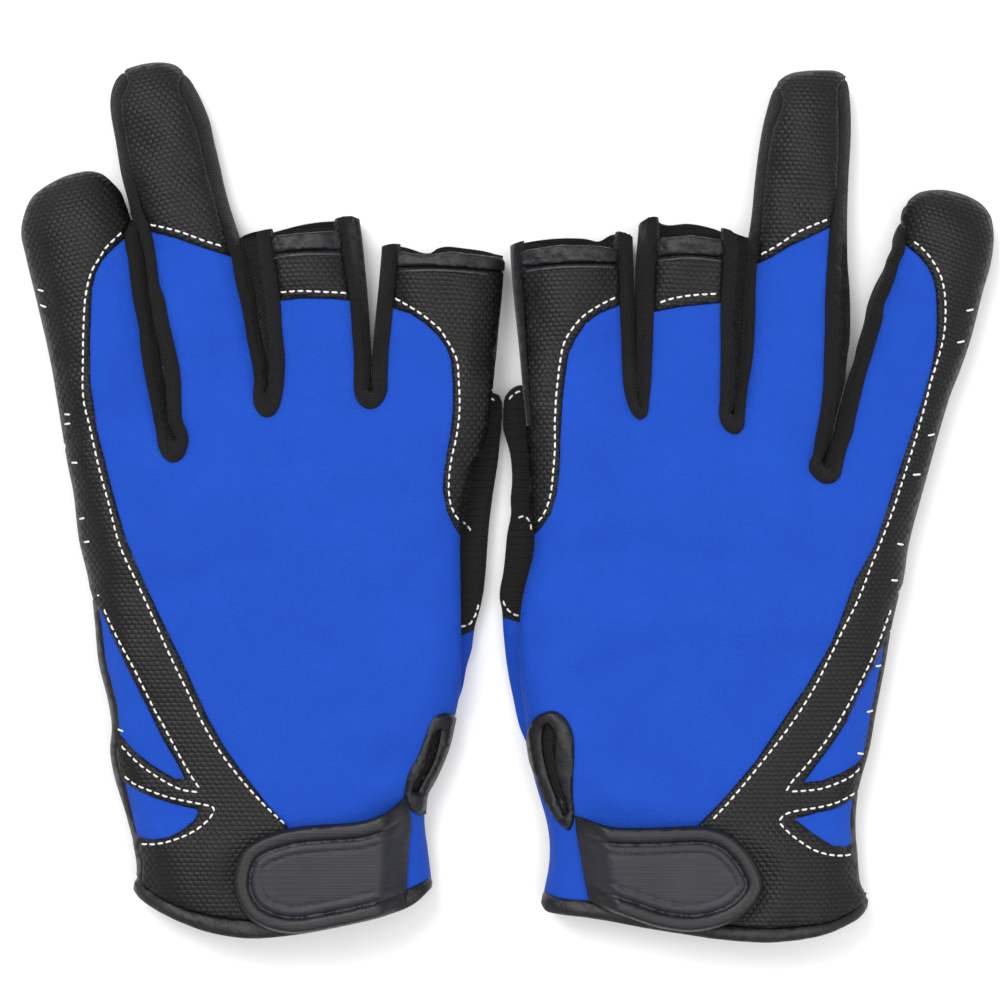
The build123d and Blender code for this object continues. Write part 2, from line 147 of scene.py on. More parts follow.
# ---------------------------------------------------------------- outlines
LEFT = {
    "prefix": "left",
    "side": 1,
    "wrist": (-99.3, -19.8),
    "over_thumb": (-46, -36),
    "thumb_bend_x": -10,
    "full_finger_split": -92.0,
    "outline": [
        # ulnar side and little finger, down into the first crotch
        [(-99, -103.2), (-98.4, -97), (-101, -84.5), (-104.5, -72.5), (-105.5, -66),
         (-105, -60), (-106, -53), (-108.5, -43), (-109.6, -31.5), (-110.8, -21),
         (-113.4, -10), (-114.8, 2), (-116.6, 11), (-121, 37.5), (-124.3, 52), (-127.5, 65),
         (-128.8, 72), (-126.4, 80), (-123.8, 82.5), (-118.5, 85.6), (-114.5, 86.9),
         (-111, 87.4), (-107.9, 86.7), (-105.2, 84.5), (-103, 81.9), (-101.5, 78.2),
         (-100.6, 75.6), (-97.9, 69.4), (-96.4, 61.5), (-95.6, 53.5), (-94.5, 45.6),
         (-93, 39), (-91.9, 33.7), (-91.6, 27), (-91, 21.8), (-89.7, 18.8), (-88, 16.4)],
        # ring finger
        [(-88, 16.4), (-88.9, 18.2), (-90.2, 21.6), (-90.8, 27), (-91, 33.7), (-92.1, 39),
         (-93.7, 45.6), (-94.7, 53.5), (-95.5, 61.5), (-96.9, 69.4), (-99.8, 76.4),
         (-101.2, 81.4), (-102.6, 86.7), (-104.1, 96), (-105.5, 104), (-105.5, 108),
         (-104.7, 111), (-102.6, 113.7), (-99, 115.3), (-93.3, 116.3), (-88.5, 115.7),
         (-85.3, 112.9), (-82.7, 109.2), (-80.8, 105.2), (-79.2, 101), (-78.2, 96),
         (-76.6, 89.3), (-75.5, 84), (-73.4, 76), (-72.1, 70.8), (-70.8, 66.3),
         (-69.2, 61), (-68.1, 56.2), (-67, 47), (-66, 41.6), (-64.7, 36.3), (-64.4, 32.3),
         (-64.3, 28.9)],
        [(-64.3, 28.9), (-63.6, 32.3), (-63.5, 36.3), (-64.9, 41.6), (-66, 47), (-67, 54.9),
         (-68.4, 61), (-70, 65.5), (-71, 70.2)],
        [(-71, 70.2), (-66.8, 71.3), (-63.6, 71.7), (-54.9, 73.9), (-49.6, 74.7),
         (-44.8, 75), (-41.6, 75.6), (-39.5, 75.2)],
        [(-39.5, 75.2), (-38.7, 69.4), (-37.9, 61.5), (-37.2, 53.5), (-36.7, 45.6),
         (-36.5, 37.6), (-36.6, 33.7), (-36.3, 29.7)],
        [(-36.3, 29.7), (-35.9, 33.7), (-35.6, 37.6), (-35.5, 42.1), (-35, 48.2),
         (-34.2, 56.2), (-33.6, 62.8), (-33.1, 67.8)],
        [(-33.1, 67.8), (-28.4, 68.1), (-25.2, 67.3), (-22.5, 66.4), (-20.4, 66.4),
         (-18.8, 67.5), (-16.4, 68.1), (-11.1, 67.6), (-5.8, 66.8), (-1.1, 65.4)],
        # index side, fold over the thumb, vent and wrist
        [(-1.1, 65.4), (-1.3, 61.5), (-1.9, 53.5), (-2.7, 45.6), (-3.4, 37.6), (-4, 31),
         (-4.5, 27), (-5.3, 19), (-7.2, 13), (-9.8, 5.8), (-11.1, 0.5), (-11.8, -4.8),
         (-12.4, -9.3), (-12.3, -26), (-12.2, -36.6), (-12.5, -49.8), (-14.2, -58.6),
         (-15.9, -65.7), (-19.3, -73.7), (-21.4, -77.6), (-22, -82), (-21.9, -87),
         (-21.2, -92.2), (-20.4, -98.8), (-20, -102.5)],
        [(-20, -102.5), (-25.7, -106.9), (-39, -110.8), (-54.9, -114), (-68.1, -115),
         (-78.7, -113.4), (-89.3, -109.6), (-97.3, -105.3), (-99, -103.2)],
    ],
    "fingers": {
        "little": {"root": ((-117.5, 14.5), (-89.5, 19)), "axis": (-0.2, 0.98)},
        "ring": {"root": ((-90, 23), (-64, 27)), "axis": (-0.2, 0.98)},
        "middle": {"root": ((-64, 27), (-36.5, 30)), "axis": (-0.06, 1.0)},
        "index": {"root": ((-36, 32), (-4, 29.5)), "axis": (0.04, 1.0)},
    },
    "zones": {
        "little": [(-119.5, 14.2), (-89.3, 18.9), (-90.6, 21.7), (-91.2, 27), (-91.45, 33.7),
                   (-92.55, 39), (-94.1, 45.6), (-95.15, 53.5), (-95.95, 61.5), (-97.4, 69.4),
                   (-100.2, 76), (-102.1, 81), (-104.2, 85), (-107, 90), (-107, 95),
                   (-140, 95), (-140, 14)],
        "ring": [(-90.8, 23), (-64, 27), (-64, 32.3), (-64.1, 36.3), (-65.45, 41.6),
                 (-66.5, 47), (-67.55, 55.5), (-68.8, 61), (-70.45, 66), (-71.6, 70.4),
                 (-71.4, 76), (-74, 95), (-74, 125), (-112, 125), (-112, 95), (-107, 95),
                 (-107, 90), (-104.2, 85), (-102.1, 81), (-100.2, 76), (-97.4, 69.4),
                 (-95.95, 61.5), (-95.15, 53.5), (-94.1, 45.6), (-92.55, 39),
                 (-91.45, 33.7), (-91.2, 27)],
        "middle": [(-64, 27), (-36.5, 30), (-36.2, 40), (-36.4, 52), (-36.5, 95), (-74, 95),
                   (-71.4, 76), (-71.6, 70.4), (-70.45, 66), (-68.8, 61), (-67.55, 55.5),
                   (-66.5, 47), (-65.45, 41.6), (-64.1, 36.3), (-64, 32.3)],
        "index": [(-36, 32), (-4, 29.5), (5, 28.8), (5, 95), (-36.5, 95), (-36.4, 52),
                  (-36.2, 40)],
    },
    "cuff_gate": [(-99.8, -103.1), (-96, -103.2), (-60, -104), (-24, -101), (-19, -102.6),
                  (-40, -130), (-120, -130)],
    "mouths": {
        "middle": [(-62.3, 70), (-54.9, 70.8), (-45, 71.5), (-44.4, 80), (-62.5, 80)],
        "index": [(-29, 66.4), (-25.2, 65.5), (-20.4, 65.1), (-15.1, 65.9), (-4.5, 64.9),
                  (2, 64.4), (2, 80), (-29, 80)],
    },
    "mouth_gates": {
        "middle": [(-70.4, 69.6), (-40.1, 74), (-39, 90), (-72, 90)],
        "index": [(-32.6, 66.9), (-1.8, 64.6), (2, 90), (-36, 90)],
    },
    "fourchettes": [
        [(-101.4, 69.8), (-100.4, 64), (-99.1, 53.5), (-97.5, 45.6), (-97, 40.3),
         (-95.7, 32.3), (-94.1, 24.4), (-92.8, 17.8), (-91.9, 13.8), (-90.2, 11.1),
         (-88, 10.1), (-85.8, 11.1), (-84.4, 13.8), (-84.1, 16.8), (-84.9, 19.4),
         (-85.9, 21.7), (-86.1, 27), (-86.4, 33.7), (-87.7, 40.3), (-89.3, 46.9),
         (-90.6, 53.5), (-92, 57.5),
         (-92.8, 63.6), (-94.1, 71), (-96.6, 78), (-99.4, 88), (-101.4, 98), (-102.2, 106),
         (-100.6, 111), (-104, 116), (-108, 108), (-107.5, 98), (-104.2, 88),
         (-100.4, 76.5)],
        [(-73.9, 66.4), (-73.1, 64.7), (-72.1, 58.8), (-70.8, 53.5), (-69.7, 48.2),
         (-68.9, 42.9), (-68.1, 39), (-67.3, 35), (-67, 31), (-67.2, 27.8), (-66.6, 24.8),
         (-65.2, 22.8), (-63.3, 22), (-61.4, 22.8), (-60, 25.2), (-59.3, 28.6),
         (-58.8, 33.7), (-58.8, 39),
         (-59.4, 44.3), (-59.6, 48.2), (-59.9, 53.5), (-60.4, 58), (-61.4, 64), (-62.3, 70),
         (-62.5, 80), (-71.5, 80), (-73, 90), (-76, 104), (-84, 116), (-87, 110),
         (-84, 103), (-81.6, 96), (-79.7, 88), (-77.6, 80)],
        [(-44.4, 80), (-44.3, 70), (-43.2, 62), (-41.6, 52.7), (-41.1, 45.6), (-40.5, 37.6),
         (-40.5, 32.3), (-40.3, 28.4), (-39, 25.7), (-36.3, 24.2), (-33.7, 25.2),
         (-31.8, 28.4), (-31.5, 32.3), (-31.3, 40.3), (-30.7, 45.6), (-30.2, 50.9),
         (-29.5, 58), (-29, 66), (-29, 80)],
    ],
    "emboss": [
        [(-98.5, 74.5), (-101.2, 69.7), (-104.7, 66.2), (-107.1, 63.3), (-108.6, 60),
         (-109.5, 56), (-109.8, 50), (-110.1, 40), (-110, 32), (-108.4, 19), (-106, 9.8),
         (-104, 2), (-100.4, -10), (-95.4, -22), (-90.4, -32.6), (-84.8, -44),
         (-79.2, -56.4), (-74.7, -64.4), (-69.4, -71.8), (-62.8, -80.3), (-57.5, -86),
         (-46, -99), (-38, -122), (-140, -122), (-140, 95), (-103.6, 95), (-103.2, 86),
         (-100.2, 77)],
        [(-98, 72), (-94.1, 71.3), (-86.7, 69.2), (-80, 66.8), (-73.7, 64.9), (-66, 62.5),
         (-66, 125), (-112, 125), (-112, 96), (-103, 88)],
        [(-62, 52.8), (-59.6, 53), (-54.9, 53.5), (-48.2, 53.5), (-41.6, 53), (-40, 52.9),
         (-42, 66.5), (-54.9, 66.2), (-64.5, 65.1)],
        [(-31, 51.3), (-25.7, 49.6), (-21.7, 46.9), (-18.3, 43.7), (-16.2, 40.8),
         (-14.8, 37.1), (-14.3, 31), (-14.3, 24.4), (-14.8, 19.1), (-15.9, 12.5),
         (-16.7, 7.2), (-17, 3.2), (-15.9, -2.7), (-13.9, -6.9), (-12.2, -9.4), (-5, -10.5),
         (8, -10), (8, 60.8), (-4.5, 61.2), (-17.8, 62), (-31.5, 62)],
    ],
    "tapes": [
        [(-64.5, 65.1), (-54.9, 66.2), (-42, 66.5), (-42, 80), (-64.5, 80)],
        [(-31.5, 62), (-17.8, 62), (-4.5, 61.2), (8, 60.8), (8, 80), (-31.5, 80)],
    ],
    "windows": [
        [(-108.1, -28.1), (-105.2, -33.9), (-102.6, -39.2), (-99.9, -44.5), (-97.3, -49.8),
         (-94.6, -55.1), (-90.6, -63.1), (-86.7, -69.7), (-85.1, -72.9), (-87.2, -73.2),
         (-90.6, -71.5), (-94.6, -68.9), (-98.6, -65.7), (-102.4, -61.7), (-103.2, -53.8),
         (-106, -44), (-107.4, -36.6)],
        [(-101.2, -74.2), (-97.3, -76.6), (-93.3, -78.2), (-88, -79.8), (-81.9, -81.1),
         (-81.4, -82.2), (-82.7, -84.3), (-86.1, -86.9), (-89.3, -88.5), (-93.3, -89.3),
         (-97.3, -89), (-98.6, -87.5), (-99.8, -81.6)],
    ],
    "side_strips": [
        [(-125, -25), (-110.6, -23), (-109.2, -26.5), (-107.6, -32), (-106.3, -43),
         (-103.6, -54), (-102.8, -61), (-103.2, -67), (-102, -73), (-99, -85), (-96.2, -96),
         (-97, -104), (-125, -104)],
    ],
    "cuff": [(-104, -96), (-99.5, -98.6), (-97.8, -100.3), (-94.6, -102.8), (-89.3, -105.6),
             (-84, -107.6), (-78.7, -108.9), (-73.4, -109.8), (-67.6, -110.3), (-60, -110),
             (-50, -108.5), (-40, -106.4), (-30, -103.8), (-24, -101.4), (-15, -98)],
    "vent": [(-18, -56.2), (-19.9, -57.8), (-21.2, -61), (-22.5, -64.4), (-23.8, -67.8),
             (-25.9, -71.5), (-26.8, -75), (-27, -80), (-22, -83.5), (-19.5, -78),
             (-17, -73.7), (-15, -69.7), (-13.5, -65.7), (-12.5, -61.7), (-12.4, -58),
             (-15.5, -56.2)],
    "vent_slit": [(-17.6, -60.2), (-18.2, -65.3), (-19.7, -69.9), (-21.7, -73.5),
                  (-23.9, -77.2), (-25.2, -76.4), (-23.5, -72.2), (-21.9, -69),
                  (-20.7, -65), (-19.2, -60.8)],
    "stitches": [
        [(-101.5, 71.8), (-103.9, 69.2), (-106, 66.8), (-107.6, 64.1), (-109.2, 61.5),
         (-110.2, 58.8), (-111, 54.9), (-111.4, 50.9), (-111.8, 40.3), (-111.7, 27),
         (-110, 19.1), (-107.9, 9.8), (-104.7, -1.6), (-102, -11.4), (-97.8, -20.7),
         (-93.3, -30.5), (-88.8, -40.5), (-84, -50.4), (-81.6, -55.6), (-77.4, -63.1),
         (-70.8, -72.3), (-64.1, -79.8), (-58, -85.6)],
        [(-95.4, 73.4), (-90.6, 72.3), (-85.3, 70.8), (-80, 68.8), (-76.6, 67.7),
         (-74.5, 67)],
        [(-59.9, 55.2), (-54.9, 55.5), (-49.6, 55.3), (-42.4, 54.9)],
        [(-29.7, 53.8), (-27, 52.2), (-23.6, 50.1), (-20.4, 47.7), (-17.8, 45.3),
         (-15.9, 42.4), (-14.4, 39.8), (-13.3, 37.1), (-12.6, 27), (-12.8, 21.7),
         (-13.6, 16.4), (-14.8, 11.1), (-15.4, 6.4), (-15.5, 3.2), (-15, -0.8),
         (-13.8, -3.6), (-12.8, -5)],
        [(-106.6, -28), (-105.2, -31.3), (-102, -37.4), (-98.3, -44), (-95.7, -49.3),
         (-92.8, -55.1), (-89.8, -60.4), (-86.7, -66.2), (-83.5, -71.8), (-80.8, -75.8)],
        [(-102, -64.4), (-97.3, -69), (-93.3, -71.9), (-89.3, -74.3), (-85.3, -76),
         (-81.4, -76.6)],
        [(-101.3, -72.4), (-98.6, -74.4), (-94.6, -76.1), (-89.3, -77.9), (-84, -79),
         (-80, -79.8), (-77.2, -80.8), (-77.9, -82.9), (-80.6, -85.6), (-84, -87.7),
         (-88, -89.3), (-92, -90.3), (-97, -90.6)],
    ],
    "strap": [(-26.5, -77.8), (-28.4, -79.2), (-31, -81.1), (-35, -82.9), (-39, -84),
              (-49.6, -84.8), (-54.9, -85.3), (-58.8, -86.1), (-63.3, -87.5), (-67.6, -89.8),
              (-70, -92.4), (-71.3, -96.2), (-71.8, -100.2), (-71.3, -103.2),
              (-70, -106.3), (-67.6, -109.4), (-64.1, -111.5), (-60.2, -112.8),
              (-54.9, -113.3), (-46.9, -112.1), (-39, -110.5), (-33.7, -109.2),
              (-26.6, -107.2)],
    "strap_end": [(-26.6, -107.2), (-26.4, -98), (-25.8, -90), (-25.4, -84), (-26.5, -77.8)],
    "thumb": [
        [(-28.5, 28.4), (-16, 29.2), (-4.4, 29)],
        [(-4.4, 29), (-2.2, 28.2), (-1.4, 25.5), (-1.4, 21.7), (-1.9, 16.4), (-2.4, 11.1),
         (-3.2, 5.8), (-4, 0.5), (-4.8, -6.1), (-5.3, -12.7), (-5.8, -19.3), (-6.4, -24.6),
         (-7.4, -29.2),
         (-8.5, -33), (-9, -36), (-9.4, -39.2), (-10.9, -44.5), (-11.9, -49.8),
         (-14.8, -57.5)],
        [(-14.8, -57.5), (-19, -58.5), (-27, -48), (-34, -33), (-36.6, -17), (-34, 0),
         (-31.5, 12), (-29, 24), (-28.5, 28.4)],
    ],
    "thumb_gate": [(-28.2, 27.4), (-5, 27.8), (-4.6, 36), (-32, 36)],
    "gusset": [(-45, -40), (-20, -36.8), (-12.5, -36), (-8.5, -34.2), (4, -33), (4, -70),
               (-45, -70)],
    "thumb_hem": [(-34, 25.6), (-16, 26.4), (-4.6, 26.2), (3, 24.2), (3, 40), (-34, 40)],
    "piping": [
        [(-61.8, 64.1), (-54.9, 64.9), (-43.9, 65.2)],
        [(-28.7, 60.7), (-17.8, 60.8), (-4.9, 60)],
    ],
    "marks": [
        [(-125, 56.4), (-122.6, 55.6)], [(-124, 52.2), (-121.9, 51.4)],
        [(-118.4, 23.2), (-115.6, 23)], [(-118, 20.4), (-115.6, 20.6)],
        [(-116.2, 10.3), (-113.6, 10.2)], [(-113.9, -4.8), (-111.8, -4.4)],
        [(-112.9, -10.9), (-110.4, -10.6)], [(-110.2, -25.2), (-107.8, -24.8)],
        [(-106.6, -50.8), (-103.4, -51.4)], [(-104.9, -59.8), (-101.4, -60.8)],
    ],
    "loop": [(-32, -88), (-66, -91.5), (-68, -100), (-64, -106.5), (-32, -104)],
    "thumb_stitches": [
        [(-14.6, -6.6), (-12.4, -5.4), (-10.9, -6.2), (-9.6, -8)],
        [(-26, 27.1), (-16, 27.9), (-5, 27.6), (-2.6, 26.4)],
        [(-13, -33.4), (-10.3, -32.8), (-8.7, -30.5), (-7.6, -27)],
    ],
    "palm_patches": [
        [(-97, -32), (-104, -14), (-106, 2), (-98, 9), (-84, 7), (-66, 16), (-48, 19),
         (-41, 8), (-44, -12), (-55, -34), (-74, -48), (-88, -46)],
        [(-113, 26), (-99, 27), (-103, 50), (-108, 66), (-114, 70), (-119.5, 62),
         (-116.5, 44)],
        [(-85, 34), (-72, 36), (-76, 62), (-83, 90), (-92, 98), (-98, 92), (-93, 66),
         (-87.5, 46)],
        [(-57, 36), (-44, 37), (-46, 52), (-49, 62), (-60, 60), (-60, 48)],
        [(-28, 38), (-12, 37), (-10, 50), (-12, 57), (-25, 58), (-27, 48)],
    ],
}

RIGHT = {
    "prefix": "right",
    "side": -1,
    "wrist": (95.7, 9.0),
    "over_thumb": (-44, -34),
    "thumb_bend_x": 2,
    "full_finger_split": 84.0,
    "outline": [
        [(9.2, -106.6), (10, -102.8), (11.1, -97), (11.3, -91), (10.6, -85.6), (9.2, -80.5),
         (7.3, -74), (6, -67), (5.1, -60.4), (3.7, -49.8), (3.2, -41.9), (3.4, -31.8),
         (4, -26), (5.6, -19.3), (6.9, -14), (7.2, -8.5), (6.2, -3), (6.3, 5), (5.6, 15),
         (4.6, 25), (4, 31), (3.2, 40.3), (2.1, 51), (1.1, 61.5), (0.8, 68.1)],
        [(0.8, 68.1), (6.1, 69.4), (14, 70.3), (20.7, 70.2), (24.6, 69.5), (27.8, 71.2),
         (30.5, 71.3), (32.9, 70.2)],
        [(32.9, 70.2), (33.1, 63.8), (33.2, 53.5), (33.4, 42.9), (33.7, 35), (34.2, 27),
         (35, 24.4)],
        [(35, 24.4), (34.9, 27), (34.7, 35), (34.4, 42.9), (34.2, 53.5), (34.4, 63.6),
         (35.2, 73.4)],
        [(35.2, 73.4), (36.6, 74.7), (39.2, 75.3), (41.3, 74.2), (43.2, 73.8), (48.5, 74.2),
         (55.1, 72.9), (60.4, 70.8), (63.6, 70.2)],
        [(63.6, 70.2), (63.4, 63.9), (62.6, 53.5), (62, 40.3), (61.5, 33.7), (60.4, 27),
         (60.2, 23.1)],
        [(60.2, 23.1), (61.2, 27), (62.5, 33.7), (63, 40.3), (63.6, 53.5), (64.4, 60),
         (65, 66), (65.2, 72), (65.7, 80), (66.5, 88), (67.6, 96), (68.9, 102.6),
         (70.5, 108), (72.3, 111.3), (75, 113.2), (79, 114), (84.3, 114.2), (87.7, 114),
         (89.9, 112.6), (90.9, 109.2), (91.4, 104), (91.4, 96), (90.9, 88), (90.6, 80),
         (90.5, 64), (91.1, 56), (91.1, 43), (90.4, 38), (89.7, 31), (88.8, 28),
         (88.2, 25.7), (87.2, 21.7), (86.3, 17.8), (85.1, 15), (83.9, 12.7), (83.3, 10.6)],
        [(83.3, 10.6), (84.6, 12.2), (86.1, 15), (87.4, 17.8), (88.2, 21.7), (89.4, 25.6),
         (90.4, 29), (92.2, 34.5), (93.2, 37.5), (94.1, 41.6), (95.6, 46.4), (96.8, 52.2),
         (98.3, 56.2), (100.2, 60.2), (103, 66.8), (104.7, 73.4), (105.3, 77),
         (106.8, 79.5), (109.4, 81.6), (113.4, 82.4), (117.4, 82.2), (122.7, 80.6),
         (125.9, 78.7), (128, 76), (128.8, 72.6), (128.8, 68), (128, 62.8), (126.1, 56.2),
         (122.7, 42.9), (120, 35), (117.4, 28.4), (114.2, 17.8), (111.3, 7.2),
         (109.4, 0.5), (106.3, -11.4), (104.9, -20.7), (102, -33.9), (100.4, -43.2),
         (98.1, -55.1), (96.2, -65.7), (93.2, -77), (92.5, -86.9), (93, -93.5),
         (93.8, -101.5), (95.5, -105), (95.4, -107.8)],
        [(95.4, -107.8), (93.5, -110.2), (89.6, -112.1), (84.3, -114), (77.6, -115.3),
         (69.7, -116.1), (61.7, -115.8), (53.8, -115), (37.9, -112.6), (22, -109.8),
         (14, -109.1), (10.1, -108.3), (9.2, -106.6)],
    ],
    "fingers": {
        "index": {"root": ((4, 29.5), (35, 31)), "axis": (-0.04, 1.0)},
        "middle": {"root": ((35.5, 26.5), (61, 25)), "axis": (0.03, 1.0)},
        "ring": {"root": ((62, 26.5), (88.5, 25)), "axis": (0.05, 1.0)},
        "little": {"root": ((84.5, 12.5), (112, 4)), "axis": (0.29, 0.96)},
    },
    "zones": {
        "index": [(-6, 29), (4, 29.5), (34.8, 31), (34, 43), (33.7, 54), (33.9, 95), (-6, 95)],
        "middle": [(34.8, 26.6), (60.7, 25), (62.3, 34), (62.6, 41), (63.1, 54), (64.3, 68),
                   (64.4, 95), (33.9, 95), (33.7, 54), (34, 43)],
        "ring": [(60.7, 26.6), (88.4, 25), (90, 32), (91.8, 44), (91.9, 56), (98, 80),
                 (98, 125), (60, 125), (64.4, 95), (64.3, 68), (63.1, 54), (62.6, 41),
                 (62.3, 34)],
        "little": [(84, 12.7), (112, 4), (116, 2.8), (140, 2), (140, 95), (98, 95),
                   (98, 80), (91.9, 56), (91.8, 44), (90, 32), (88.2, 24), (86.3, 16.4)],
    },
    "cuff_gate": [(96.4, -107.7), (92, -107), (50, -104), (14, -105), (8, -106.5),
                  (0, -130), (110, -130)],
    "mouths": {
        "index": [(3.6, 66.3), (14, 67.7), (24.6, 67.4), (29.2, 66.8), (29.2, 80),
                  (3.6, 80)],
        "middle": [(39.5, 69.4), (48.5, 70.2), (57, 69), (57, 80), (39.5, 80)],
    },
    "mouth_gates": {
        "index": [(1.5, 67.5), (32.4, 69.4), (36, 90), (-2, 90)],
        "middle": [(35.7, 72.6), (63.2, 69.4), (63.6, 80), (34, 90)],
    },
    "fourchettes": [
        [(29.2, 80), (29.2, 66.8), (29.5, 60), (29.7, 51.9), (30.2, 42.9), (30.5, 32.3),
         (31, 28.4), (31.8, 25.4), (33.1, 22.8), (35, 21.4), (36.8, 22.6), (37.6, 27),
         (38.1, 32.3), (38.5, 40.3), (38.8, 49.3), (39.1, 58), (39.5, 66), (39.5, 80)],
        [(57, 80), (57, 64.7), (56.7, 58), (56.4, 52.7), (56.4, 40.3), (56.2, 27),
         (55.9, 23.1), (56.7, 20), (58.3, 18.2), (60.4, 17.6), (62.3, 19.2), (62.9, 23.1),
         (63.4, 28), (64, 32), (64.8, 36.3), (65.3, 40.3), (65.7, 48.2), (65.9, 56),
         (66.3, 63), (67.4, 72), (68.4, 85), (70.4, 98), (73, 107), (68, 114), (62, 92),
         (64.5, 76)],
        [(86.6, 80), (85.3, 73), (84.8, 66.8), (84.3, 58.8), (84, 53.5), (84, 45.6),
         (83.7, 37.6), (83.5, 29.7), (82.4, 21.7), (81.4, 16.4), (80.8, 12.5), (79.8, 10.6),
         (79.6, 8.3), (80.8, 6.4), (83.5, 4.6), (86.1, 4.9), (87.7, 6.4), (88.8, 9.8),
         (89.8, 13.8), (91.4, 17.8), (92.5, 23.1), (93.8, 28.4), (95.1, 33.7), (96.7, 39),
         (98.3, 44.3), (99.4, 48.2), (99.9, 52.2), (101.5, 55.7), (103.1, 60.2),
         (104.1, 63.6), (105.5, 66.8), (104, 76), (98, 80), (96, 100), (92.5, 113),
         (88, 110), (87.8, 100), (87.3, 88)],
    ],
    "emboss": [
        [(104, 75), (105.3, 68), (108.9, 64.7), (111, 62), (112.4, 58.8), (113.2, 54.9),
         (113.4, 48.2), (113.2, 41.6), (112.4, 36.3), (111, 31), (109.4, 25.7),
         (105.5, 13.8), (101.5, 1.9), (97, -11.4), (91.7, -20.7), (87.7, -31.3),
         (85.1, -37.9), (79, -48.5), (72.6, -57.8), (65.5, -68.4), (56.4, -79),
         (50.9, -84.5), (40, -98), (34, -122), (140, -122), (140, 95), (104, 95)],
        [(63, 61.2), (66.2, 62.8), (69.7, 64.4), (75, 67.6), (80.3, 70), (85.1, 72.3),
         (93, 75.5), (95, 120), (60, 120)],
        [(38, 49.8), (39, 50.1), (45.8, 51.4), (57, 52.5), (58, 52.5), (59, 64.5),
         (48.5, 65.3), (37.5, 64.6)],
        [(30.5, 52.2), (24.6, 49.8), (20.7, 46.9), (18, 42.9), (16.2, 39), (15.4, 33.7),
         (14.6, 27), (14, 16.4), (13.8, 8.5), (13, 1.9), (11.4, -3.4), (9, -7), (7.1, -8.9),
         (2, -9.5), (-6, -9), (-6, 62), (3.7, 62), (14, 62.8), (31.5, 63.2)],
    ],
    "tapes": [
        [(37.5, 64.6), (48.5, 65.3), (59, 64.5), (59, 80), (37.5, 80)],
        [(2, 61.9), (14, 62.8), (31.5, 63.2), (31.5, 80), (2, 80)],
    ],
    "windows": [
        [(99.9, -36.6), (97.8, -41.9), (94.9, -47.2), (93, -50.6), (89.8, -57.8),
         (86.4, -63.1), (83.5, -67), (78.2, -74.1), (82.9, -73.7), (88.2, -71.7),
         (92.2, -69.7), (94.3, -67.4), (95.3, -62), (96.3, -56.5), (97.6, -50),
         (99.2, -42)],
        [(75.8, -83.7), (81.6, -82.2), (85.6, -81.4), (89.6, -79.8), (91.5, -78.6),
         (90.8, -84), (91.1, -90.6), (89.6, -91.3), (86.1, -90.9), (82.9, -89),
         (79.8, -86.9)],
    ],
    "side_strips": [
        [(125, -22), (104.8, -22), (103.2, -24.5), (101.2, -32), (99.4, -41), (97.3, -52),
         (95.3, -63), (93.8, -69), (92, -76), (91, -83), (91.4, -92), (92.2, -100),
         (93, -104), (125, -104)],
        [(-6, 85), (3.6, 85), (3.6, 62), (4.6, 50), (5.2, 40), (5.8, 30), (6.6, 20),
         (3, 20), (-6, 22)],
    ],
    "cuff": [(99, -102.6), (95.7, -104.4), (93.5, -106.8), (89.6, -109.2), (85.6, -110.6),
             (77.6, -111.8), (69.7, -112.3), (61.7, -112), (54, -110.9), (48.5, -109.9),
             (35.2, -107.2), (21.5, -105.3), (16.7, -105), (11.9, -104.3), (5, -101.5)],
    "vent": [(7.4, -57.2), (9.5, -55.9), (12.3, -55.3), (14.8, -56.6), (16.5, -59.1),
             (17.4, -62), (17.7, -66), (17.4, -72), (17.4, -79), (17.8, -83), (16.4, -87),
             (13.8, -85), (11.8, -82.4), (9.8, -79), (8.4, -75), (7, -71), (5.8, -67),
             (5.6, -61.7)],
    "vent_slit": [(10.6, -58.4), (12, -60), (12.6, -62.4), (12.6, -66), (12.9, -70),
                  (14, -74), (15.2, -78), (16, -82), (15.2, -83.4), (13.4, -79.6),
                  (11.6, -75.4), (10.2, -71), (9.2, -66.4), (9, -62), (9.6, -59)],
    "stitches": [
        [(106.8, 69.3), (108.9, 67.6), (111.6, 64.6), (114, 60.2), (115.3, 54.9),
         (115.5, 48.2), (115, 42.9), (113.7, 37.6), (112.1, 32.3), (108.9, 20.4),
         (104.9, 7.2), (100.7, -4.8), (96.2, -15.9), (92.2, -26), (88.2, -33.9),
         (85.1, -40.5), (80.8, -49), (75.3, -57.8), (67, -68.6), (58, -79.4),
         (53.5, -84.3)],
        [(66.5, 64.9), (71, 67.3), (76.3, 70.8), (80.3, 72.6), (85.3, 74.7)],
        [(39.6, 52.2), (43.2, 53.5), (48.5, 54.4), (56, 54.9)],
        [(28.9, 54.1), (24.6, 51.9), (20.1, 48.9), (17.2, 45.6), (15, 41.6), (13.9, 36.3),
         (13.2, 31), (12.6, 21.7), (12.6, 13.8), (12.1, 7.2), (11.5, 1.9), (10.3, -2.1),
         (8.9, -4.6), (7.9, -5.6)],
        [(101.4, -28.6), (99.9, -32.6), (97.8, -37.9), (94.3, -45.3), (90.4, -52.7),
         (87.5, -57.8), (84.3, -62.7), (80.8, -67.2), (77.6, -70.9), (74.8, -74),
         (73.4, -76.3)],
        [(74.1, -76.5), (77.6, -76.3), (82.9, -75.7), (86.9, -74.4), (90.9, -72.5),
         (93.8, -70)],
        [(92.4, -76.8), (90.9, -77.6), (86.9, -79.4), (82.9, -80.5), (79, -81.1),
         (75, -81.8), (72.4, -83), (71.7, -84.4), (73.7, -86.9), (76.3, -89),
         (80.3, -91.6), (84.3, -93), (88.2, -93.5), (91.4, -93.3)],
    ],
    "strap": [(21.6, -105.4), (27.3, -107.6), (32.6, -109.4), (37.9, -111.3), (43.2, -112.4),
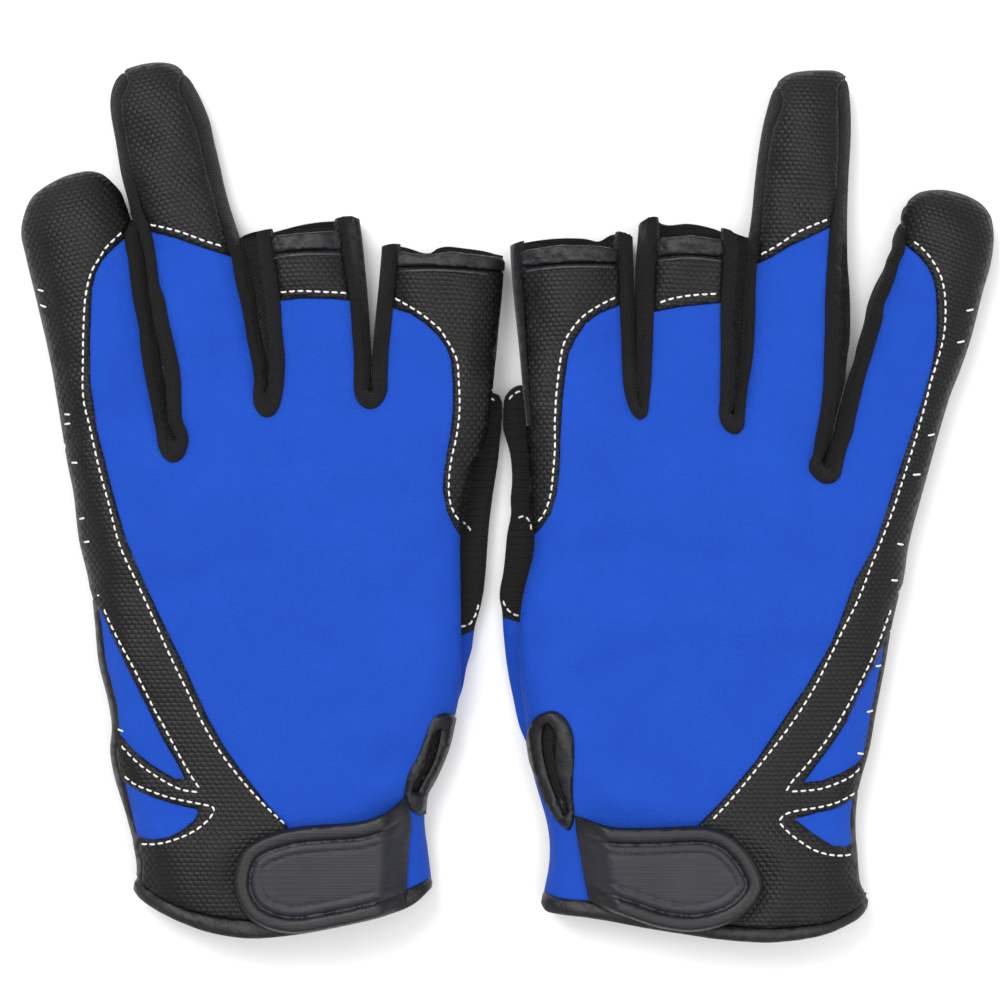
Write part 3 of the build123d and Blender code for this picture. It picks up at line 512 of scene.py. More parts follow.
              (48.5, -112.8), (54.3, -111.9), (59.1, -110.2), (62.3, -108.1), (64.9, -105.5),
              (66.5, -102.8), (67, -100.2), (66.5, -98), (65.2, -94.9), (63.1, -91.7),
              (60.4, -88.8), (57.8, -86.9), (54.3, -85.6), (51.1, -85.1), (43.2, -85.3),
              (35.2, -85.6), (27.3, -85.3), (22, -83.9), (17.8, -82.9)],
    "strap_end": [(17.8, -82.9), (18.4, -88.5), (19.3, -93.5), (20.4, -100), (21.6, -105.4)],
    "thumb": [
        [(26, 27.2), (14, 30), (3.6, 31)],
        [(3.6, 31), (1, 29.8), (-0.8, 27), (-1, 24), (-1, 19.1), (-0.5, 17.2), (0.8, 12.5),
         (1.3, 5.8), (0.9, 0.5), (1, -3.4), (0, -8.7), (-0.5, -14), (-1.1, -19.3), (-1.9, -23.3),
         (-2, -26), (-1.4, -29), (-1.1, -33.9), (-0.3, -41.9), (0.5, -47.2), (1.6, -52.5),
         (3.4, -60.4), (6.4, -67)],
        [(6.4, -67), (12, -62), (20, -50), (27, -33), (28.4, -15), (28, 9), (26, 27.2)],
    ],
    "thumb_gate": [(25.6, 26.2), (14, 28.8), (3.9, 29.6), (3, 38), (30, 38)],
    "gusset": [(-8, -31.2), (-1.4, -31), (3.2, -32.2), (12, -33.5), (40, -36), (40, -80),
               (-8, -80)],
    "thumb_hem": [(32, 23), (26, 24.2), (14, 27.2), (4, 28.2), (-4, 25.5), (-4, 40), (32, 40)],
    "piping": [
        [(39.7, 63.4), (48.5, 64.1), (56.6, 63.4)],
        [(4.6, 60.8), (14, 61.6), (28.6, 61.9)],
    ],
    "marks": [
        [(123.9, 51), (121.4, 50.4)], [(121.6, 42.6), (119, 42)],
        [(113.4, 17.9), (111.2, 17.4)], [(109.9, 7.2), (107.2, 7)],
        [(105.4, -11.6), (103, -11.2)], [(103.9, -21), (101.4, -20.8)],
        [(99.6, -43.4), (97.4, -43.6)], [(97.4, -55.4), (95.2, -55.8)],
        [(94.8, -67), (92.6, -66.6)],
    ],
    "loop": [(25, -90), (56, -90.5), (61.5, -95), (63, -101), (57, -106.5), (27, -103)],
    "thumb_stitches": [
        [(2.4, -4.6), (4.6, -4), (6, -5.4), (6.6, -8.2)],
        [(24, 26.2), (14, 28.6), (4.4, 29.5), (1.4, 28.2), (0.2, 26.6)],
        [(-1.2, -26), (0, -28.6), (1.6, -30), (3.6, -30.6)],
    ],
    "palm_patches": [
        [(36, -34), (47, -46), (62, -44), (82, -28), (92, -10), (94, 0), (84, 4), (66, 10),
         (48, 15), (38, 18), (32, 6), (32, -14)],
        [(6, 38), (24, 39), (26, 50), (25, 58), (11, 58), (7, 50)],
        [(42, 36), (55, 36), (57, 48), (56, 60), (43, 61), (41, 50)],
        [(69, 36), (82, 35), (84, 60), (84, 90), (78, 98), (73, 92), (70, 66)],
        [(96, 24), (107, 19), (114, 42), (118, 58), (114, 68), (109, 64), (103, 46)],
    ],
}

# ---------------------------------------------------------------- looks
# most kinds of panel: height above the shell, width of the rounded edge
RELIEF = {
    "back": (0.35, 1.4),
    "window": (0.1, 1.0),
    "emboss": (1.0, 0.9),
    "tape": (1.15, 0.7),
    "side": (0.5, 0.8),
    "cuff": (1.3, 2.2),
    "vent": (1.5, 1.5),
    "vent_slit": (-2.6, 0.6),
    "palm": (0.2, 1.2),
    "patch": (0.9, 0.9),
    "stall": (0.35, 1.2),
    "gusset": (0.3, 1.2),
    "hem": (0.8, 1.1),
}
BLUE = (0.0095, 0.070, 0.47, 1)
BLUE_SHADE = (0.0065, 0.052, 0.385, 1)
DEEP_BLACK = (0.0015, 0.0014, 0.0016, 1)
# the material of each kind of panel
SLOTS = {
    "back": "neoprene",
    "window": "neoprene",
    "gusset": "neoprene",
    "emboss": "embossed_leather",
    "tape": "binding_tape",
    "cuff": "binding_tape",
    "vent": "binding_tape",
    "vent_slit": "binding_tape",
    "side": "palm_suede",
    "fourchette": "fourchette_knit",
    "palm": "palm_suede",
    "patch": "palm_suede",
    "stall": "thumb_knit",
    "hem": "thumb_knit",
    "lining": "thumb_knit",
}


# ---------------------------------------------------------------- plan geometry
def smooth_line(points, step=EDGE_STEP, closed=False):
    """Points about a step apart on the smooth curve through some points."""
    given = np.array(points, float)
    if closed:
        ring = np.vstack([given[-1], given, given[0], given[1]])
    else:
        ring = np.vstack([2 * given[0] - given[1], given, 2 * given[-1] - given[-2]])
    out = []
    for a, b, c, d in zip(ring, ring[1:], ring[2:], ring[3:]):
        count = max(1, int(round(np.linalg.norm(c - b) / step)))
        knots = [0.0]
        for p, q in ((a, b), (b, c), (c, d)):
            knots.append(knots[-1] + max(np.linalg.norm(q - p), 1e-6) ** 0.5)
        for t in np.linspace(knots[1], knots[2], count, endpoint=False):
            ab = (a * (knots[1] - t) + b * (t - knots[0])) / (knots[1] - knots[0])
            bc = (b * (knots[2] - t) + c * (t - knots[1])) / (knots[2] - knots[1])
            cd = (c * (knots[3] - t) + d * (t - knots[2])) / (knots[3] - knots[2])
            left = (ab * (knots[2] - t) + bc * (t - knots[0])) / (knots[2] - knots[0])
            right = (bc * (knots[3] - t) + cd * (t - knots[1])) / (knots[3] - knots[1])
            out.append((left * (knots[2] - t) + right * (t - knots[1])) / (knots[2] - knots[1]))
    if not closed:
        out.append(given[-1])
    return np.array(out)


def straight_line(points, step=EDGE_STEP):
    """Points about a step apart on the closed polygon through some points."""
    out = []
    given = np.array(points, float)
    for a, b in zip(given, np.roll(given, -1, axis=0)):
        count = max(1, int(round(np.linalg.norm(b - a) / step)))
        for share in np.arange(count) / count:
            out.append(a + (b - a) * share)
    return np.array(out)


def closed_loop(curves):
    """One closed loop from smooth curves laid end to end."""
    return np.vstack([smooth_line(curve)[:-1] for curve in curves])


def inside(points, polygon):
    """Which points lie inside a polygon."""
    x, y = points[:, 0], points[:, 1]
    ring = np.array(polygon, float)
    hit = np.zeros(len(points), bool)
    for (ax, ay), (bx, by) in zip(ring, np.roll(ring, -1, axis=0)):
        if ay == by:
            continue
        crosses = (ay > y) != (by > y)
        hit ^= crosses & (x < (bx - ax) * (y - ay) / (by - ay) + ax)
    return hit


def distance_to(points, starts, ends):
    """The distance from each point to the nearest of some line segments, or FAR."""
    best = np.full(len(points), FAR)
    along = ends - starts
    length = np.maximum((along**2).sum(1), 1e-12)
    for first in range(0, len(points), BLOCK):
        block = points[first:first + BLOCK]
        to = block[:, None, :] - starts[None]
        share = np.clip((to * along[None]).sum(2) / length[None], 0, 1)
        gap = to - share[..., None] * along[None]
        best[first:first + BLOCK] = np.minimum(FAR, np.sqrt((gap**2).sum(2).min(1)))
    return best


def rows_beside(line, offsets, closed):
    """Extra rows of points beside a line, on both sides of it."""
    if closed:
        direction = np.roll(line, -1, axis=0) - np.roll(line, 1, axis=0)
    else:
        direction = np.gradient(line, axis=0)
    direction /= np.maximum(np.linalg.norm(direction, axis=1), 1e-9)[:, None]
    across = np.stack([-direction[:, 1], direction[:, 0]], 1)
    return np.vstack([line + across * offset * sign for offset in offsets for sign in (1, -1)])


class Shell:
    """A soft flattened shell: a plan cut along its seams, with an upper and an under side."""

    def __init__(self, outline, seams=(), polygons=(), gates=(), field_step=FIELD_STEP,
                 fine=(), rails=None):
        self.outline = outline
        self.build_plan(seams, polygons, field_step, fine, rails)
        self.find_rim(gates)

    def build_plan(self, seams, polygons, field_step, fine, rails):
        """Triangulate the plan with every seam as an edge."""
        lines = [(self.outline, True)]
        lines += [(seam, False) for seam in seams] + [(polygon, True) for polygon in polygons]
        starts = np.vstack([line if closed else line[:-1] for line, closed in lines])
        ends = np.vstack([np.roll(line, -1, axis=0) if closed else line[1:]
                          for line, closed in lines])
        loose = rails or [rows_beside(self.outline, EDGE_RINGS, True)]
        loose = loose + [rows_beside(line, RINGS, closed) for line, closed in lines[1:]]
        loose += [rows_beside(line, FINE_RINGS, True) for line in fine]
        rows = np.vstack(loose)
        rows = rows[inside(rows, self.outline)]
        rows = rows[distance_to(rows, starts, ends) > CROWDED]
        rows = self.thinned(rows, RAIL_GAP if rails else ROW_GAP)
        low, high = self.outline.min(0), self.outline.max(0)
        grid = []
        height = field_step * math.sqrt(3) / 2
        for row, y in enumerate(np.arange(low[1], high[1], height)):
            for x in np.arange(low[0] + (row % 2) * field_step / 2, high[0], field_step):
                grid.append((x, y))
        grid = np.array(grid)
        grid = grid[inside(grid, self.outline)]
        grid = grid[distance_to(grid, starts, ends) > RINGS[-1] + GRID_GAP]
        points, edges = [], []
        for line, closed in lines:
            base = len(points)
            points += [Vector(p) for p in line]
            edges += [(base + i, base + i + 1) for i in range(len(line) - 1)]
            if closed:
                edges.append((base + len(line) - 1, base))
        points += [Vector(p) for p in rows] + [Vector(p) for p in grid]
        verts, _, faces, *_ = geometry.delaunay_2d_cdt(points, edges, [], 0, 1e-3)
        plan = np.array([v[:] for v in verts])
        tris = np.array([f[:3] for f in faces if len(f) == 3])
        middle = plan[tris].mean(1)
        a, b, c = plan[tris[:, 0]], plan[tris[:, 1]], plan[tris[:, 2]]
        area = np.cross(b - a, c - a)
        keep = inside(middle, self.outline) & (np.abs(area) > 1e-7)
        tris, area = tris[keep], area[keep]
        tris[area < 0] = tris[area < 0][:, ::-1]
        used, tris = np.unique(tris, return_inverse=True)
        self.plan = plan[used]
        self.tris = tris.reshape(-1, 3)
        self.middle = self.plan[self.tris].mean(1)

    @staticmethod
    def thinned(points, gap):
        """The points, without those that crowd a point already taken."""
        taken, kept = set(), []
        for p in points:
            cell = (int(p[0] // gap), int(p[1] // gap))
            if any((cell[0] + i, cell[1] + j) in taken for i in (-1, 0, 1) for j in (-1, 0, 1)):
                continue
            taken.add(cell)
            kept.append(p)
        return np.array(kept)

    def find_rim(self, gates):
        """Mark the rim points where the two sides are sewn together, and those at open ends."""
        rim = np.unique(rim_edges(self.tris))
        self.sewn = np.zeros(len(self.plan), bool)
        self.sewn[rim] = True
        self.mouth = np.zeros(len(self.plan), bool)
        for gate in gates:
            self.mouth |= self.sewn & inside(self.plan, gate)
        self.sewn &= ~self.mouth

    def puff(self, width):
        """How far each point stands from the sewn rim, as an inflated skin would: 0 to about 1."""
        edges, weights = cotangent_edges(self.plan, self.tris)
        mass = point_areas(self.plan, self.tris)
        load = 2.0 * mass
        diagonal = np.bincount(edges.ravel(), np.repeat(weights, 2), len(self.plan))
        diagonal += mass / width**2
        free = ~self.sewn
        value = solve(edges, weights, diagonal, load, free)
        return np.sqrt(np.maximum(value, 0) / (2 * width**2))

    def labels(self, rules, default):
        """The name of each triangle's region: the first rule whose polygon holds it."""
        found = np.full(len(self.tris), default, dtype=object)
        done = np.zeros(len(self.tris), bool)
        for name, polygon in rules:
            hit = inside(self.middle, polygon) & ~done
            found[hit] = name
            done |= hit
        return found


def rim_edges(tris):
    """The edges that belong to one triangle only."""
    edges = np.sort(np.vstack([tris[:, [0, 1]], tris[:, [1, 2]], tris[:, [2, 0]]]), axis=1)
    unique, counts = np.unique(edges, axis=0, return_counts=True)
    return unique[counts == 1]


def cotangent_edges(plan, tris):
    """The edges of a plan and how strongly each ties its ends."""
    edges, weights = [], []
    for i in range(3):
        o, a, b = tris[:, i], tris[:, (i + 1) % 3], tris[:, (i + 2) % 3]
        u, v = plan[a] - plan[o], plan[b] - plan[o]
        cross = np.maximum(np.abs(np.cross(u, v)), 1e-6)
        edges.append(np.stack([a, b], 1))
        weights.append(np.clip(0.5 * (u * v).sum(1) / cross, 0.02, 8.0))
    return np.vstack(edges), np.concatenate(weights)


def point_areas(plan, tris):
    """A third of the area of the triangles round each point."""
    a, b, c = plan[tris[:, 0]], plan[tris[:, 1]], plan[tris[:, 2]]
    area = np.abs(np.cross(b - a, c - a)) / 6
    return np.bincount(tris.ravel(), np.repeat(area, 3), len(plan))


def solve(edges, weights, diagonal, load, free, rounds=600):
    """Conjugate gradients on the free points, the others being zero."""
    count = len(diagonal)

    def apply(x):
        out = diagonal * x
        out -= np.bincount(edges[:, 0], weights * x[edges[:, 1]], count)
        out -= np.bincount(edges[:, 1], weights * x[edges[:, 0]], count)
        return out * free

    x = np.zeros(count)
    r = load * free
    z = r / diagonal
    p = z.copy()
    rho = r @ z
    first = rho
    for _ in range(rounds):
        q = apply(p)
        alpha = rho / (p @ q)
        x += alpha * p
        r -= alpha * q
        z = r / diagonal
        new = r @ z
        if new < 1e-12 * first:
            break
        p = z + (new / rho) * p
        rho = new
    return x


def lens(gap, reach):
    """A quarter of an oval: 0 at its edge, 1 from some way in."""
    return np.sqrt(np.maximum(0, 1 - (1 - np.clip(gap / reach, 0, 1)) ** 2))


def smoothstep(value, low, high):
    """0 below low, 1 above high, smooth in between."""
    share = np.clip((value - low) / (high - low), 0, 1)
    return share * share * (3 - 2 * share)


def vertex_normals(points, tris):
    """Area-weighted normals."""
    a, b, c = points[tris[:, 0]], points[tris[:, 1]], points[tris[:, 2]]
    face = np.cross(b - a, c - a)
    normal = np.zeros_like(points)
    for i in range(3):
        for axis in range(3):
            normal[:, axis] += np.bincount(tris[:, i], face[:, axis], len(points))
    return normal / np.maximum(np.linalg.norm(normal, axis=1), 1e-12)[:, None]


def wander(points, size, seed):
    """Smooth noise over some points in plan."""
    return np.array([noise.noise(Vector((x / size, y / size, seed))) for x, y in points[:, :2]])


def new_object(name, points, faces, grain=None, normals=None):
    """A mesh object from points in millimetres, smooth shaded."""
    world = points.copy()
    world[:, 0] += SHIFT[0]
    world[:, 1] += SHIFT[1]
    mesh = bpy.data.meshes.new(name)
    mesh.from_pydata((world * MM).tolist(), [], [list(f) for f in faces])
    mesh.polygons.foreach_set("use_smooth", np.ones(len(faces), bool))
    if grain is not None:
        layer = mesh.attributes.new("grain", "FLOAT_VECTOR", "POINT")
        layer.data.foreach_set("vector", grain.astype(np.float32).ravel())
    if normals is not None:
        mesh.normals_split_custom_set_from_vertices(normals.tolist())
    mesh.update()
    obj = bpy.data.objects.new(name, mesh)
    bpy.context.scene.collection.objects.link(obj)
    return obj


def dress(obj, material):
    """Give a piece its material."""
    obj.data.materials.append(material)


def hang(obj, glove, place):
    """Make a piece follow the hand, or bake a finger's piece in place."""
    prefix = glove["prefix"]
    if place == "hand":
        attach(obj, f"{prefix}_hand")
    else:
        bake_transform(obj)


def grain_of(glove, place, points):
    """Coordinates along and across a finger, for its grain."""
    grain = points.copy()
    if place in glove["fingers"]:
        ax, ay = glove["fingers"][place]["axis"]
        length = math.hypot(ax, ay)
        ax, ay = ax / length, ay / length
        grain[:, 0] = points[:, 0] * ay - points[:, 1] * ax
        grain[:, 1] = points[:, 0] * ax + points[:, 1] * ay
    return grain


# ---------------------------------------------------------------- materials
class Recipe:
    """A node material under construction."""

    def __init__(self, name):
        self.material = bpy.data.materials.new(name)
        self.material.use_nodes = True
        self.nodes = self.material.node_tree.nodes
        self.links = self.material.node_tree.links
        self.shader = self.nodes["Principled BSDF"]

    def node(self, kind, **settings):
        made = self.nodes.new(kind)
        for key, value in settings.items():
            setattr(made, key, value)
        return made

    def link(self, source, target):
        self.links.new(source, target)

    def math(self, operation, a, b=None):
        made = self.node("ShaderNodeMath", operation=operation)
        for index, value in enumerate((a, b)):
            if value is None:
                continue
            if isinstance(value, (int, float)):
                made.inputs[index].default_value = value
            else:
                self.link(value, made.inputs[index])
        return made.outputs[0]

    def grain(self):
        """Millimetres across and along the grain."""
        return self.node("ShaderNodeAttribute", attribute_name="grain").outputs["Vector"]

    def noise(self, vector, scale, detail=2.0, roughness=0.5):
        made = self.node("ShaderNodeTexNoise")
        self.link(vector, made.inputs["Vector"])
        made.inputs["Scale"].default_value = scale
        made.inputs["Detail"].default_value = detail
        made.inputs["Roughness"].default_value = roughness
        return made.outputs["Fac"]

    def ramp(self, value, low, high, bottom=(0, 0, 0, 1), top=(1, 1, 1, 1)):
        made = self.node("ShaderNodeValToRGB")
        self.link(value, made.inputs["Fac"])
        stops = made.color_ramp.elements
        stops[0].position, stops[1].position = low, high
        stops[0].color, stops[1].color = bottom, top
        return made.outputs["Color"]

    def bump(self, height, distance, strength=1.0, below=None):
        made = self.node("ShaderNodeBump")
        made.inputs["Distance"].default_value = distance
        made.inputs["Strength"].default_value = strength
        self.link(height, made.inputs["Height"])
        if below is not None:
            self.link(below, made.inputs["Normal"])
        return made.outputs["Normal"]

    def drive(self, socket, source):
        self.link(source, self.shader.inputs[socket])

    def set(self, **sockets):
        for key, value in sockets.items():
            self.shader.inputs[key.replace("_", " ")].default_value = value


def cells(recipe, vector, width, height, wobble):
    """A brick-laid field of small pillows, one cell width by height millimetres."""
    warp = recipe.node("ShaderNodeTexNoise")
    recipe.link(vector, warp.inputs["Vector"])
    warp.inputs["Scale"].default_value = 0.55
    moved = recipe.node("ShaderNodeVectorMath", operation="MULTIPLY_ADD")
    recipe.link(warp.outputs["Color"], moved.inputs[0])
    moved.inputs[1].default_value = (wobble, wobble, 0)
    recipe.link(vector, moved.inputs[2])
    apart = recipe.node("ShaderNodeSeparateXYZ")
    recipe.link(moved.outputs[0], apart.inputs[0])
    v = recipe.math("DIVIDE", apart.outputs[1], height)
    row = recipe.math("FLOOR", v)
    lag = recipe.math("MULTIPLY", recipe.math("MODULO", row, 2.0), 0.5)
    u = recipe.math("ADD", recipe.math("DIVIDE", apart.outputs[0], width), lag)
    sides = []
    for value in (u, v):
        share = recipe.math("SUBTRACT", recipe.math("FRACT", value), 0.5)
        wide = recipe.math("ABSOLUTE", recipe.math("MULTIPLY", share, 2.0))
        sides.append(recipe.math("SUBTRACT", 1.0, recipe.math("POWER", wide, 2.2)))
    return recipe.math("MULTIPLY", sides[0], sides[1])


def neoprene():
    recipe = Recipe("neoprene_blue")
    grain = recipe.grain()
    mottle = recipe.noise(grain, 0.05, 8.0, 0.75)
    recipe.drive("Base Color", recipe.ramp(mottle, 0.2, 0.8, BLUE_SHADE, BLUE))
    knit = cells(recipe, grain, 0.62, 0.44, 0.15)
    soft = recipe.noise(grain, 0.9, 5.0, 0.65)
    first = recipe.bump(soft, 0.0006, 0.35)
    recipe.drive("Normal", recipe.bump(knit, 0.00016, 0.6, first))
    recipe.set(Roughness=0.72, Sheen_Weight=0.07, Sheen_Roughness=0.45, Specular_IOR_Level=0.15,
               Sheen_Tint=(0.35, 0.5, 1.0, 1))
    return recipe.material


def embossed():
    recipe = Recipe("embossed_leather")
    grain = recipe.grain()
    pillows = cells(recipe, grain, 1.75, 1.2, 0.45)
    fine = recipe.noise(grain, 2.2, 3.0)
    height = recipe.math("ADD", pillows, recipe.math("MULTIPLY", fine, 0.25))
    recipe.drive("Normal", recipe.bump(height, 0.00027, 0.55))
    # The base colour is lighter on the tops of the pillows: a painted highlight on each bump.
    painted_pillow_highlight = recipe.ramp(pillows, 0.1, 0.9, (0.0022, 0.0022, 0.0024, 1), (0.0062, 0.0062, 0.0066, 1))
    recipe.drive("Base Color", painted_pillow_highlight)
    rough = recipe.ramp(fine, 0.3, 0.8, (0.38, 0.38, 0.38, 1), (0.55, 0.55, 0.55, 1))
    recipe.drive("Roughness", rough)
    recipe.set(Specular_IOR_Level=0.25)
    return recipe.material


def knitted(name, colour, dark, pitch, rib, course):
    """A knit of loops a pitch wide, with ridges across it as strong as its course."""
    recipe = Recipe(name)
    grain = recipe.grain()
    loops = cells(recipe, grain, pitch, pitch * rib, 0.12)
    fuzz = recipe.noise(grain, 1.6, 4.0, 0.6)
    height = recipe.math("ADD", loops, recipe.math("MULTIPLY", fuzz, 0.5))
    ridges = cells(recipe, grain, 40.0, 1.9, 0.2)
    height = recipe.math("ADD", height, recipe.math("MULTIPLY", ridges, course))
    recipe.drive("Normal", recipe.bump(height, 0.00035, 0.7))
    recipe.drive("Base Color", recipe.ramp(height, 0.1, 1.3, dark, colour))
    recipe.set(Roughness=0.62, Sheen_Weight=0.05, Sheen_Roughness=0.5, Specular_IOR_Level=0.2)
    return recipe.material


def taped(name, dark, light, roughness):
    """Creased tape."""
    recipe = Recipe(name)
    grain = recipe.grain()
    creases = recipe.noise(grain, 0.55, 5.0, 0.6)
    pores = recipe.noise(grain, 3.5, 2.0)
    height = recipe.math("ADD", creases, recipe.math("MULTIPLY", pores, 0.2))
    recipe.drive("Normal", recipe.bump(height, 0.0006, 0.5))
    recipe.drive("Base Color", recipe.ramp(creases, 0.3, 0.75, dark, light))
    recipe.set(Roughness=roughness, Specular_IOR_Level=0.36)
    return recipe.material


def suede():
    recipe = Recipe("palm_suede")
    grain = recipe.grain()
    nap = recipe.noise(grain, 0.5, 6.0, 0.7)
    fibre = recipe.noise(grain, 4.0, 3.0)
    recipe.drive("Normal", recipe.bump(recipe.math("ADD", nap, fibre), 0.0003, 0.5))
    recipe.drive("Base Color", recipe.ramp(nap, 0.3, 0.75, (0.006, 0.006, 0.007, 1),
                                           (0.016, 0.016, 0.018, 1)))
    recipe.set(Roughness=0.85, Sheen_Weight=0.3, Sheen_Roughness=0.4, Specular_IOR_Level=0.15)
    return recipe.material


def rubber(name, colour, dark, roughness):
    """Rubber with fine ribs and pores."""
    recipe = Recipe(name)
    grain = recipe.grain()
    ribs = cells(recipe, grain, 60.0, 0.8, 0.05)
    pores = recipe.noise(grain, 2.6, 3.0)
    height = recipe.math("MULTIPLY", recipe.math("ADD", ribs, pores), 0.5)
    recipe.drive("Normal", recipe.bump(height, 0.00014, 0.4))
    cloud = recipe.noise(grain, 0.12, 3.0)
    recipe.drive("Base Color", recipe.ramp(cloud, 0.35, 0.7, dark, colour))
    recipe.set(Roughness=roughness, Specular_IOR_Level=0.4)
    return recipe.material


def hooked():
    recipe = Recipe("hook_and_loop")
    grain = recipe.grain()
    loops = recipe.noise(grain, 3.0, 4.0, 0.8)
    recipe.drive("Normal", recipe.bump(loops, 0.0008, 0.9))
    recipe.drive("Base Color", recipe.ramp(loops, 0.3, 0.7, (0.006, 0.006, 0.007, 1),
                                           (0.02, 0.02, 0.022, 1)))
    recipe.set(Roughness=0.9, Sheen_Weight=0.3)
    return recipe.material


def threaded():
    recipe = Recipe("stitch_thread")
    grain = recipe.grain()
    twist = recipe.noise(grain, 2.0, 2.0)
    recipe.drive("Normal", recipe.bump(twist, 0.0002, 0.5))
    recipe.drive("Base Color", recipe.ramp(twist, 0.3, 0.7, (0.62, 0.60, 0.56, 1),
                                           (0.84, 0.83, 0.80, 1)))
    recipe.set(Roughness=0.6, Sheen_Weight=0.2)
    return recipe.material


def make_materials():
    return {
        "neoprene": neoprene(),
        "embossed_leather": embossed(),
        "fourchette_knit": knitted("fourchette_knit", (0.0068, 0.0058, 0.0062, 1), DEEP_BLACK,
                                   0.7, 0.8, 0.0),
        "thumb_knit": knitted("thumb_knit", (0.007, 0.007, 0.0076, 1), DEEP_BLACK, 0.9, 0.7, 1.6),
        "binding_tape": taped("binding_tape", (0.004, 0.004, 0.005, 1),
                              (0.011, 0.011, 0.0135, 1), 0.42),
        # The piping is a real cord, coloured far lighter than the tape: a painted highlight along the
        # tape's edge.
        "piping": taped("piping", (0.02, 0.02, 0.024, 1), (0.05, 0.05, 0.056, 1), 0.3),
        "palm_suede": suede(),
        "strap_rubber": rubber("strap_rubber", (0.0135, 0.013, 0.0205, 1),
                               (0.010, 0.0098, 0.0155, 1), 0.5),
        "strap_edge": rubber("strap_edge", (0.0075, 0.0074, 0.0098, 1),
                             (0.005, 0.005, 0.0065, 1), 0.45),
        "hook_and_loop": hooked(),
        "thread": threaded(),
    }


# ---------------------------------------------------------------- cloth
def heights(mesh):
    """The heights of a mesh's points, in metres."""
    flat = np.empty(len(mesh.vertices) * 3)
    mesh.vertices.foreach_get("co", flat)
    return flat.reshape(-1, 3)[:, 2]


def billow(obj):
    """Inflate a bag of cloth for a few frames and return the heights where its points end."""
    cloth = obj.modifiers.new("cloth", "CLOTH")
    settings = cloth.settings
    settings.quality = 6
    settings.mass = 0.25
    settings.tension_stiffness = 12
    settings.compression_stiffness = 12
    settings.shear_stiffness = 6
    settings.bending_stiffness = 0.8
    settings.air_damping = 4
    settings.use_pressure = True
    settings.uniform_pressure_force = 1.2
    settings.shrink_min = -0.05
    settings.vertex_group_mass = "held"
    settings.effector_weights.gravity = 0
    cloth.collision_settings.use_collision = False
    scene = bpy.context.scene
    for frame in range(1, BAG_FRAMES + 1):
        scene.frame_set(frame)
        bpy.context.view_layer.update()
    moved = heights(obj.evaluated_get(bpy.context.evaluated_depsgraph_get()).data)
    scene.frame_set(1)
    return moved


def carried(slack, plan):
    """The coarse bag's shape change at each point of a finer plan."""
    if slack is None:
        return np.zeros(len(plan))
    knots, change = slack
    tree = KDTree(len(knots))
    for i, (x, y) in enumerate(knots):
        tree.insert((x, y, 0), i)
    tree.balance()
    out = np.zeros(len(plan))
    for i, (x, y) in enumerate(plan):
        near = tree.find_n((x, y, 0), BAG_NEIGHBOURS)
        weights = np.exp(-np.array([(gap / BAG_STEP) ** 2 for _, _, gap in near]))
        out[i] = (weights * change[[index for _, index, _ in near]]).sum() / weights.sum()
    return out


# ---------------------------------------------------------------- the glove
class Sides:
    """The upper and the under side of a shell in space, with their shared normals."""

    def __init__(self, shell, upper, under, open_faces):
        self.shell = shell
        count = len(shell.plan)
        self.upper = np.column_stack([shell.plan, upper])
        self.under = np.column_stack([shell.plan, under])
        own = np.arange(count) + count
        own[shell.sewn] = np.arange(count)[shell.sewn]
        self.under[shell.sewn] = self.upper[shell.sewn]
        joined = np.vstack([self.upper, self.under])
        tops = shell.tris[~open_faces]
        faces = np.vstack([tops, own[shell.tris[:, ::-1]]])
        normals = vertex_normals(joined, faces)
        self.joined = joined
        self.joined_faces = faces
        self.joined_normals = normals
        self.upper_normals = normals[:count]
        self.under_normals = normals[own]


def bell(gap, centre, width):
    """A bell's profile, 1 at its centre."""
    return np.exp(-(((gap - centre) / width) ** 2))


def relief(kind, gap):
    """How far a panel's surface stands off the shell, from the distance to its edge."""
    height, width = RELIEF[kind]
    raised = height * lens(gap, width)
    if kind == "tape":
        raised -= 0.75 * bell(gap, 1.45, 0.38)
    return raised


def only_used(faces):
    """The points that some faces use, and the faces counted in those."""
    used = sorted({i for face in faces for i in face})
    index = {old: new for new, old in enumerate(used)}
    return used, [tuple(index[i] for i in face) for face in faces]


def lined(sides, chosen, depth):
    """The inner face of some of the cloth, with the cut edge round each opening."""
    count = len(sides.joined)
    inner = sides.joined - sides.joined_normals * depth[:, None]
    points = np.vstack([sides.joined, inner])
    rim = set(map(tuple, rim_edges(sides.joined_faces)))
    faces = []
    for a, b, c in sides.joined_faces[chosen]:
        faces.append((c + count, b + count, a + count))
        for p, q in ((a, b), (b, c), (c, a)):
            if (min(p, q), max(p, q)) in rim:
                faces.append((q, p, p + count, q + count))
    used, faces = only_used(faces)
    return points[used], faces


def lining_depth(rise, thickness):
    """How far the inner face lies under the cloth: less beside the sewn edge."""
    depth = thickness * (0.2 + 0.8 * smoothstep(rise, 0.05, 0.5))
    return np.concatenate([depth, depth])


